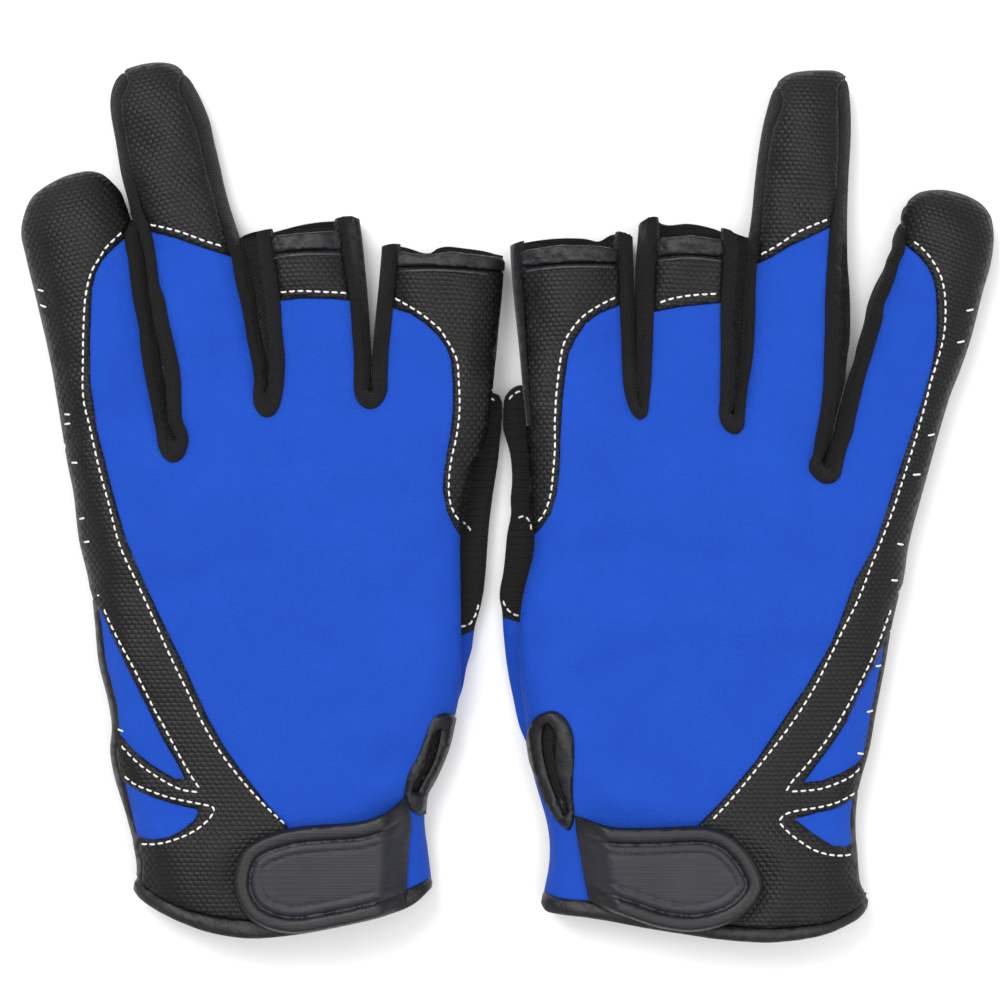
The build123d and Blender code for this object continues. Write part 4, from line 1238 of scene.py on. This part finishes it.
class Glove:
    """Builds the pieces of one glove."""

    def __init__(self, data, materials):
        self.data = data
        self.prefix = data["prefix"]
        self.materials = materials
        self.hand_shell()
        self.thumb_shell()

    # -- shapes
    def raise_over_thumb(self, points):
        """1 over the folded thumb, 0 away from it."""
        x, y = points[:, 0], points[:, 1]
        near = smoothstep(self.data["side"] * x, *self.data["over_thumb"])
        (start, full), (fade, stop) = RECESS_ENDS
        return near * smoothstep(y, start, full) * (1 - smoothstep(y, fade, stop))

    def hand_shell(self):
        data = self.data
        outline = closed_loop(data["outline"])
        slack = self.settle(outline)
        fourchettes = [smooth_line(p, closed=True) for p in data["fourchettes"]]
        tapes = [straight_line(p) for p in data["tapes"]]
        polygons = list(fourchettes)
        for key in ("emboss", "tapes", "windows", "side_strips"):
            polygons += [straight_line(p) for p in data[key]]
        polygons += [straight_line(p) for p in data["zones"].values()]
        polygons += [straight_line(p) for p in data["mouths"].values()]
        polygons += [smooth_line(p, closed=True) for p in data["palm_patches"]]
        polygons += [smooth_line(data["vent"], closed=True),
                     smooth_line(data["vent_slit"], closed=True)]
        seams = [smooth_line(data["cuff"])] + [smooth_line(s) for s in data["stitches"]]
        gates = [data["cuff_gate"], *data["mouth_gates"].values()]
        shell = Shell(outline, seams, polygons, gates, fine=fourchettes + tapes)
        lift = self.raise_over_thumb(shell.plan)
        rise = shell.puff(PUFF_WIDTH)
        wave = wander(shell.plan, 22, 1.3) * 0.5 + wander(shell.plan, 9, 4.1) * 0.22
        pressed = self.under_strap(shell.plan)
        wave = wave * (1 - 0.8 * pressed) - BED_DEPTH * pressed
        open_rise, open_flat, near_cuff = self.wrist_shape(shell.plan)
        rise = rise + near_cuff * (np.minimum(rise, open_rise) - rise)
        seam = SEAM_Z + (RECESS_SEAM - SEAM_Z) * lift
        floor = TABLE_CLEARANCE + (RECESS_TOP - TABLE_CLEARANCE) * lift
        wave = wave + carried(slack, shell.plan) * (1 - pressed)
        upper = seam + (HAND_TOP - seam) * rise + wave * np.minimum(1, rise * 2)
        flat = np.clip(rise * math.sqrt(2) * PUFF_WIDTH / FLAT_UNDER, 0, 1)
        flat = flat + near_cuff * (np.minimum(flat, open_flat) - flat)
        self.hand_depth = lining_depth(rise, LINING)
        under = seam - (seam - floor) * (1 - (1 - flat) ** 2)
        self.opened = np.zeros(len(shell.tris), bool)
        for polygon in data["mouths"].values():
            self.opened |= inside(shell.middle, polygon)
        self.hand = Sides(shell, upper, under, self.opened)

    def wrist_shape(self, plan):
        """The flattened oval of the open cuff, and how near each point is to it."""
        outer, inner = self.data["wrist"]
        side = self.data["side"]
        from_outer = side * (plan[:, 0] - outer)
        from_inner = side * (inner - plan[:, 0])
        rise = np.minimum(lens(from_outer, CUFF_ROUND["outer"]), lens(from_inner, CUFF_ROUND["inner"]))
        flat = np.minimum(from_outer / CUFF_ROUND["outer"], from_inner / CUFF_ROUND["inner_under"])
        return rise, np.clip(flat, 0, 1), 1 - smoothstep(plan[:, 1], *CUFF_REACH)

    def settle(self, outline):
        """How an inflated cloth bag of the same outline billows and creases, in millimetres."""
        gates = [self.data["cuff_gate"], *self.data["mouth_gates"].values()]
        bag = Shell(outline[::3], gates=gates, field_step=BAG_STEP)
        rise = bag.puff(PUFF_WIDTH)
        upper = SEAM_Z + (HAND_TOP - SEAM_Z) * rise
        under = SEAM_Z - (SEAM_Z - TABLE_CLEARANCE) * np.minimum(1, 1.5 * rise)
        held = np.flatnonzero(bag.sewn | bag.mouth)
        own = np.arange(len(rise)) + len(rise)
        own[held] = held
        points = np.vstack([np.column_stack([bag.plan, upper]),
                            np.column_stack([bag.plan, under])])
        faces = np.vstack([bag.tris, own[bag.tris[:, ::-1]]])
        obj = new_object("bag", points, faces)
        group = obj.vertex_groups.new(name="held")
        group.add(held.tolist(), 1.0, "REPLACE")
        change = (billow(obj) - heights(obj.data))[:len(rise)] / MM
        change -= change[~bag.sewn].mean()
        bpy.data.objects.remove(obj, do_unlink=True)
        change[bag.sewn | bag.mouth] = 0
        return bag.plan, np.clip(change, -SLACK, SLACK)

    def under_strap(self, points):
        """1 where the strap lies over the hand, 0 away from it."""
        tab = closed_loop([self.data["strap"], self.data["strap_end"]])
        gap = distance_to(points, tab, np.roll(tab, -1, axis=0))
        return np.where(inside(points, tab), 1.0, 1 - smoothstep(gap, 0, BED_REACH))

    def thumb_shell(self):
        data = self.data
        outline = closed_loop(data["thumb"])
        polygons = [straight_line(data["gusset"]), straight_line(data["thumb_hem"])]
        shell = Shell(outline, polygons=polygons, gates=[data["thumb_gate"]])
        rise = shell.puff(THUMB_PUFF)
        self.thumb_depth = lining_depth(rise, THUMB_LINING)
        wave = wander(shell.plan, 8, 7.7) * 0.35
        upper = THUMB_SEAM + (THUMB_TOP - THUMB_SEAM + wave) * rise
        flat = np.clip(rise * 1.6, 0, 1)
        under = THUMB_SEAM - (THUMB_SEAM - TABLE_CLEARANCE) * (1 - (1 - flat) ** 2)
        self.thumb = Sides(shell, upper, under, np.zeros(len(shell.tris), bool))

    # -- panels
    def panels(self, sides, kinds, places, under=False):
        """One object for each kind of panel and each body that it crosses."""
        shell = sides.shell
        base = sides.under if under else sides.upper
        normals = sides.under_normals if under else sides.upper_normals
        threads = self.gap_to_threads(shell.plan, sides is self.thumb, under)
        sink = STITCH_SINK * bell(threads, 0, STITCH_REACH)
        made = []
        for kind in sorted(set(kinds) - {""}):
            tris = shell.tris[kinds == kind]
            edges = rim_edges(tris)
            if kind == "fourchette":
                inner = edges[~(shell.sewn | shell.mouth)[edges].all(1)]
                raised, fall = self.strip_profile(shell.plan, self.gap_to_edges(shell, tris, inner))
            elif kind == "vent_slit":
                raised, fall = 0, -relief(kind, self.gap_to_edges(shell, tris, edges))
            else:
                raised, fall = relief(kind, self.gap_to_edges(shell, tris, edges)), 0
            points = base + normals * (raised - sink)[:, None]
            points[:, 2] -= np.minimum(fall, np.maximum(points[:, 2] - SEAM_Z - STRIP_FLOOR, 0))
            order = tris[:, ::-1] if under else tris
            shading = vertex_normals(points, order)
            for place in sorted(set(places[kinds == kind])):
                part = order[places[kinds == kind] == place]
                keep, faces = np.unique(part, return_inverse=True)
                name = f"{self.prefix}_{place}_{kind}_{'under' if under else 'top'}"
                obj = new_object(name, points[keep], faces.reshape(-1, 3),
                                 grain_of(self.data, place, points[keep]), shading[keep])
                dress(obj, self.materials[SLOTS[kind]])
                made.append((obj, place))
        return made

    @staticmethod
    def gap_to_edges(shell, tris, edges):
        """How far each point of some triangles lies from some of their edges."""
        used = np.unique(tris)
        gap = np.full(len(shell.plan), FAR)
        gap[used] = distance_to(shell.plan[used], shell.plan[edges[:, 0]], shell.plan[edges[:, 1]])
        return gap

    def strip_profile(self, plan, bound):
        """Height of a fourchette beside its bound edge, and its fall into the slit."""
        near = np.abs(plan[:, 0] - self.data["full_finger_split"]) < FULL_FINGER_REACH
        full = 1 - smoothstep(plan[:, 1], *TIP_FADE) * near
        bead = BEAD_HEIGHT * lens(bound, BEAD_WIDTH) * (1 - 0.9 * smoothstep(bound, 2.2, 4.6))
        crease = 0.75 * bell(bound, 2.5, 0.5)
        fall = STRIP_DEPTH * smoothstep(bound, 3.0, 5.6)
        return bead * (0.15 + 0.85 * full) - crease * full, fall * full

    def gap_to_threads(self, plan, on_thumb, under):
        """How far each point lies from the nearest row of stitches."""
        if under:
            return np.full(len(plan), FAR)
        rows = [smooth_line(s) for s in self.data["thumb_stitches" if on_thumb else "stitches"]]
        starts = np.vstack([row[:-1] for row in rows])
        ends = np.vstack([row[1:] for row in rows])
        return distance_to(plan, starts, ends)

    def build_hand(self):
        data = self.data
        shell = self.hand.shell
        cuff = smooth_line(data["cuff"])
        below = [(cuff[-1][0], BELOW_CUFF), (cuff[0][0], BELOW_CUFF)]
        cuff_polygon = np.vstack([cuff, below])
        rules = [("", p) for p in data["mouths"].values()]
        rules += [("vent_slit", smooth_line(data["vent_slit"], closed=True)),
                  ("vent", smooth_line(data["vent"], closed=True)),
                  ("cuff", cuff_polygon)]
        rules += [("fourchette", smooth_line(p, closed=True)) for p in data["fourchettes"]]
        for kind, key in (("side", "side_strips"), ("window", "windows"), ("tape", "tapes"),
                          ("emboss", "emboss")):
            rules += [(kind, p) for p in data[key]]
        kinds = shell.labels(rules, "back")
        places = shell.labels(data["zones"].items(), "hand")
        pieces = self.panels(self.hand, kinds, places)
        thread = sew(self, pieces, data["stitches"] + data["marks"], "hand", data["zones"])
        thread += pipe(self, pieces)
        rules = [("cuff", cuff_polygon)]
        rules += [("patch", smooth_line(p, closed=True)) for p in data["palm_patches"]]
        kinds = shell.labels(rules, "palm")
        pieces += self.panels(self.hand, kinds, places, under=True)
        pieces += self.build_lining(places)
        for obj, place in pieces + thread:
            hang(obj, data, place)
        self.replace_nodes()

    def replace_nodes(self):
        """Hide the plain CAD solids that the panels stand for."""
        stands_for = {
            "back_panel": "hand_back_top", "palm_panel": "hand_palm_under",
            "embossed_overlays": "hand_emboss_top", "cuff_binding": "hand_cuff_top",
            "vent_binding": "hand_vent_top",
        }
        for node, piece in stands_for.items():
            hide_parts(f"{self.prefix}_{node}")
        for finger in self.data["fingers"]:
            stem = f"{self.prefix}_{finger}"
            tip = {"little": "cap", "ring": "tip"}.get(finger, "band")
            label = "fourchette" if finger in ("little", "index") else "fourchettes"
            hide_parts(f"{stem}_back")
            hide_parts(f"{stem}_{tip}")
            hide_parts(f"{stem}_palm")
            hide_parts(f"{stem}_{label}")
            if finger in self.data["mouths"]:
                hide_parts(f"{stem}_binding")

    def build_lining(self, places):
        """The inner faces of the cloth, seen through the open ends."""
        made = []
        both = np.concatenate([places[~self.opened], places])
        for place in ("hand", "middle", "index"):
            points, faces = lined(self.hand, both == place, self.hand_depth)
            obj = new_object(f"{self.prefix}_{place}_lining", points, faces,
                             grain_of(self.data, place, points))
            dress(obj, self.materials["thumb_knit"])
            made.append((obj, place))
        return made

    def build_thumb(self):
        data = self.data
        shell = self.thumb.shell
        rules = [("gusset", data["gusset"]), ("hem", data["thumb_hem"])]
        kinds = shell.labels(rules, "stall")
        places = np.full(len(kinds), "thumb", dtype=object)
        pieces = self.panels(self.thumb, kinds, places)
        thread = sew(self, pieces, data["thumb_stitches"], "thumb")
        pieces += self.panels(self.thumb, kinds, places, under=True)
        every = np.ones(len(self.thumb.joined_faces), bool)
        points, faces = lined(self.thumb, every, self.thumb_depth)
        inner = new_object(f"{self.prefix}_thumb_lining", points, faces, points)
        dress(inner, self.materials["thumb_knit"])
        pieces.append((inner, "thumb"))
        for obj, _ in pieces + thread:
            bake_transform(obj)
        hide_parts(f"{self.prefix}_thumb_back")
        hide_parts(f"{self.prefix}_thumb_palm")


# ---------------------------------------------------------------- thread
def surface_under(pieces):
    """A tree of the pieces' faces, in millimetres of the outlines' plane."""
    points, faces = [], []
    for obj, _ in pieces:
        base = len(points)
        for vertex in obj.data.vertices:
            x, y, z = vertex.co / MM
            points.append((x - SHIFT[0], y - SHIFT[1], z))
        faces += [[base + i for i in face.vertices] for face in obj.data.polygons]
    return BVHTree.FromPolygons(points, faces)


def drop(tree, x, y):
    """Where a plumb line from above meets the cloth, and the cloth's normal there."""
    place, normal, *_ = tree.ray_cast(Vector((x, y, ABOVE)), Vector((0, 0, -1)))
    return None if place is None else (place, normal)


def stitch_mesh(path, up, radius):
    """A short length of thread that dives into the cloth at both ends."""
    rings, sides = len(path), THREAD_SIDES
    points, faces = [], []
    for i, centre in enumerate(path):
        ahead = path[min(i + 1, rings - 1)] - path[max(i - 1, 0)]
        across = ahead.cross(up).normalized()
        share = 2 * i / (rings - 1) - 1
        size = radius * (0.55 + 0.45 * math.sqrt(max(0.0, 1 - share**4)))
        lift = 0.75 * radius * (1 - share**4) - 0.55 * radius * share**4
        for j in range(sides):
            turn = 2 * math.pi * j / sides
            points.append(centre + across * (math.cos(turn) * size)
                          + up * (math.sin(turn) * size * 0.8 + lift))
    for i in range(rings - 1):
        for j in range(sides):
            k = (j + 1) % sides
            faces.append((i * sides + j, i * sides + k, (i + 1) * sides + k, (i + 1) * sides + j))
    faces.append(tuple(range(sides - 1, -1, -1)))
    faces.append(tuple((rings - 1) * sides + j for j in range(sides)))
    return points, faces


def stitch_row(tree, line, pitch, length):
    """Every stitch of a row laid over the cloth: its middle, points and faces."""
    fine = smooth_line(line, 0.25)
    steps = np.concatenate([[0], np.cumsum(np.linalg.norm(np.diff(fine, axis=0), axis=1))])
    count = max(1, int((steps[-1] + pitch - length) / pitch))
    slack = (steps[-1] - (count * pitch - (pitch - length))) / 2
    row = []
    for n in range(count):
        start = slack + n * pitch
        path, ups = [], []
        for at in np.linspace(start + length, start, STITCH_POINTS):
            x = np.interp(at, steps, fine[:, 0])
            y = np.interp(at, steps, fine[:, 1])
            found = drop(tree, x, y)
            if found is None:
                break
            path.append(found[0])
            ups.append(found[1])
        if len(path) < STITCH_POINTS:
            continue
        run = sum((b - a).length for a, b in zip(path, path[1:]))
        if run > MARK_LENGTH:
            share = MARK_LENGTH / run / (STITCH_POINTS - 1)
            path = [path[0].lerp(path[-1], share * i) for i in range(STITCH_POINTS)]
        points, faces = stitch_mesh(path, sum(ups, Vector()).normalized(), STITCH_RADIUS)
        row.append((path[STITCH_POINTS // 2], points, faces))
    return row


def sew(glove, pieces, rows, body, zones=None):
    """Lay rows of stitches on some pieces, grouped by the body each stitch lies on."""
    tree = surface_under(pieces)
    groups = {}
    for line in rows:
        pitch, length = STITCH_PITCH, STITCH_LENGTH
        if len(line) == 2:
            pitch, length = MARK_PITCH, math.dist(*line)
        for centre, points, faces in stitch_row(tree, line, pitch, length):
            spot = np.array([[centre.x, centre.y]])
            held = [name for name, zone in (zones or {}).items() if inside(spot, zone)[0]]
            place = held[0] if held else body
            store = groups.setdefault(place, ([], []))
            base = len(store[0])
            store[0].extend(points)
            store[1].extend([tuple(base + i for i in f) for f in faces])
    made = []
    for place, (points, faces) in groups.items():
        spots = np.array([p[:] for p in points])
        obj = new_object(f"{glove.prefix}_{place}_stitching", spots, faces, spots)
        obj.data.materials.append(glove.materials["thread"])
        made.append((obj, place))
    return made


def pipe(glove, pieces):
    """The folded lower edge of the tape at each cut finger, as a fine cord with a painted highlight.
    """
    tree = surface_under(pieces)
    made = []
    for line, place in zip(glove.data["piping"], glove.data["mouths"]):
        found = [drop(tree, x, y) for x, y in smooth_line(line, PIPING_STEP)]
        path, ups = zip(*[hit for hit in found if hit])
        points, faces = stitch_mesh(path, sum(ups, Vector()).normalized(), PIPING_RADIUS)
        spots = np.array([p[:] for p in points])
        obj = new_object(f"{glove.prefix}_{place}_piping", spots, faces, spots)
        dress(obj, glove.materials["piping"])
        made.append((obj, place))
    return made


# ---------------------------------------------------------------- the strap
def solid_of(shell, top, under):
    """Closed points and faces between two heights over a plan."""
    count = len(shell.plan)
    points = np.vstack([np.column_stack([shell.plan, top]), np.column_stack([shell.plan, under])])
    rim = set(map(tuple, rim_edges(shell.tris)))
    walls = []
    for tri in shell.tris:
        for a, b in ((tri[0], tri[1]), (tri[1], tri[2]), (tri[2], tri[0])):
            if (min(a, b), max(a, b)) in rim:
                walls.append((b, a, a + count, b + count))
    faces = [tuple(t) for t in shell.tris] + [tuple(t + count) for t in shell.tris[:, ::-1]]
    return points, faces + walls


def build_slab(glove, node, name, outline, levels):
    """A flat patch of hook or loop with softened edges."""
    shell = Shell(outline, field_step=PATCH_STEP)
    gap = distance_to(shell.plan, outline, np.roll(outline, -1, axis=0))
    low, high = levels
    top = high - PATCH_EDGE * (1 - lens(gap, PATCH_EDGE))
    points, faces = solid_of(shell, top, np.full(len(gap), low))
    obj = new_object(f"{glove.prefix}_{name}", points, faces, points)
    dress(obj, glove.materials["hook_and_loop"])
    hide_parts(f"{glove.prefix}_{node}")
    return obj


def tab_profile(gap):
    """Height of the strap's upper face over its edge, from the distance to that edge."""
    half = STRAP_RIM / 2
    bead = 0.65 * np.sqrt(np.maximum(0, 1 - ((gap - half) / half) ** 2))
    seam = -0.75 * bell(gap, STRAP_RIM + 0.25, 0.45)
    ridge = 0.2 * bell(gap, STRAP_RIM + 1.9, 0.6)
    welt = -0.28 * bell(gap, STRAP_RIM + 3.1, 0.3)
    fall = -1.1 * (1 - lens(gap, 1.0))
    return bead + seam + ridge + welt + fall


def ground_below(sides, plan):
    """Height of the cloth below each point of a plan."""
    tree = BVHTree.FromPolygons(sides.upper.tolist(), sides.shell.tris.tolist())
    hits = [drop(tree, x, y) for x, y in plan.tolist()]
    return np.array([hit[0].z if hit else SEAM_Z for hit in hits])


def rails_inside(free, tab, depths, slip):
    """Rows of points at some depths inside the strap's free edge, or at most a slip nearer it."""
    direction = np.gradient(free, axis=0)
    direction /= np.linalg.norm(direction, axis=1)[:, None]
    inward = np.stack([-direction[:, 1], direction[:, 0]], 1)
    middle = len(free) // 2
    if not inside(free[[middle]] + inward[[middle]] * 2, tab)[0]:
        inward = -inward
    rails = []
    for depth in depths:
        rail = free + inward * depth
        rail = rail[inside(rail, tab)]
        rails.append(rail[distance_to(rail, free[:-1], free[1:]) > depth - slip])
    return rails


def strap_solid(glove, tab, free, end):
    """The strap's points, faces, normals and each face's distance to the free edge."""
    rails = rails_inside(free, tab, STRAP_RAILS, 0.03)
    shell = Shell(tab, field_step=STRAP_FIELD_STEP, rails=rails)
    gap = distance_to(shell.plan, free[:-1], free[1:])
    sewn = 1 - smoothstep(distance_to(shell.plan, end[:-1], end[1:]), 0, SEWN_REACH)
    ground = ground_below(glove.hand, shell.plan) + STRAP_GAP
    sway = wander(shell.plan, 17, 2.2) * 0.25
    top = STRAP_TOP + tab_profile(gap) + sway
    top += sewn * (ground + STRAP_THICKNESS - top)
    under = STRAP_UNDER + sway * 0.5 + 0.5 * (1 - np.clip(gap, 0, 1)) ** 2
    under += sewn * (ground - under)
    points, faces = solid_of(shell, top, under)
    shading = vertex_normals(points, np.array([t for f in faces for t in split_face(f)]))
    gaps = np.concatenate([gap, gap])
    return points, faces, shading, np.array([gaps[list(f)].mean() for f in faces])


def build_strap(glove):
    data, prefix = glove.data, glove.prefix
    tab = closed_loop([data["strap"], data["strap_end"]])
    free = smooth_line(data["strap"], STRAP_EDGE_STEP)
    end = smooth_line(data["strap_end"])
    points, faces, shading, from_edge = strap_solid(glove, tab, free, end)
    rim = from_edge < STRAP_RIM + 0.15
    pieces = []
    for part, slot, chosen in (("wrist_strap", "strap_rubber", ~rim),
                               ("strap_binding", "strap_edge", rim)):
        used, own_faces = only_used([faces[i] for i in np.flatnonzero(chosen)])
        obj = new_object(f"{prefix}_{part}_cloth", points[used], own_faces, points[used],
                         shading[used])
        dress(obj, glove.materials[slot])
        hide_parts(f"{prefix}_{part}")
        pieces.append(obj)
    hook_edge = rails_inside(free, tab, [HOOK_INSET], 0.05)[0]
    hook_edge = hook_edge[distance_to(hook_edge, end[:-1], end[1:]) > HOOK_INSET]
    pieces.append(build_slab(glove, "hook_patch", "hook_face", hook_edge, HOOK_LEVELS))
    loop_edge = smooth_line(data["loop"], closed=True)
    loop = build_slab(glove, "loop_patch", "loop_face", loop_edge, LOOP_LEVELS)
    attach(loop, f"{prefix}_hand")
    for obj in pieces:
        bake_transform(obj)


def split_face(face):
    """The triangles of a face with three or four corners."""
    if len(face) == 3:
        return [face]
    return [(face[0], face[1], face[2]), (face[0], face[2], face[3])]


def build_glove(data, materials):
    glove = Glove(data, materials)
    glove.build_hand()
    glove.build_thumb()
    build_strap(glove)


# ---------------------------------------------------------------- stage
def make_stage():
    floor = bpy.data.meshes.new("floor")
    far = 6.0
    corners = [(-far, -far, 0), (far, -far, 0), (far, far, 0), (-far, far, 0)]
    floor.from_pydata(corners, [], [(0, 1, 2, 3)])
    obj = bpy.data.objects.new("floor", floor)
    bpy.context.scene.collection.objects.link(obj)
    recipe = Recipe("floor_paper")
    recipe.set(Roughness=0.9, Base_Color=(0.93, 0.93, 0.93, 1))
    floor.materials.append(recipe.material)


def area_light(name, place, size, power):
    """A square soft light that shines on the middle of the pair."""
    light = bpy.data.lights.new(name, "AREA")
    light.shape = "SQUARE"
    light.size = size
    light.energy = power
    obj = bpy.data.objects.new(name, light)
    obj.location = place
    obj.rotation_euler = (Vector() - Vector(place)).to_track_quat("-Z", "Y").to_euler()
    bpy.context.scene.collection.objects.link(obj)


def make_lights():
    world = bpy.data.worlds.new("studio")
    world.use_nodes = True
    sky = world.node_tree.nodes["Background"]
    sky.inputs["Color"].default_value = (1, 1, 1, 1)
    sky.inputs["Strength"].default_value = 0.62
    bpy.context.scene.world = world
    area_light("key", (-0.5, 0.7, 1.3), 0.7, 14)
    area_light("fill", (0.8, -0.3, 1.2), 0.9, 6)
    area_light("top", (0, 0, 1.6), 1.2, 8)


def make_camera():
    camera = bpy.data.cameras.new("camera")
    camera.lens = LENS
    camera.sensor_width = SENSOR
    obj = bpy.data.objects.new("camera", camera)
    x, y, z = VIEW_CENTRE
    obj.location = (x, y, z + VIEW_WIDTH * LENS / SENSOR)
    bpy.context.scene.collection.objects.link(obj)
    bpy.context.scene.camera = obj


def main():
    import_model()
    bpy.context.scene.view_settings.view_transform = "Standard"
    make_camera()
    make_lights()
    make_stage()
    materials = make_materials()
    for data in (LEFT, RIGHT):
        build_glove(data, materials)


main()
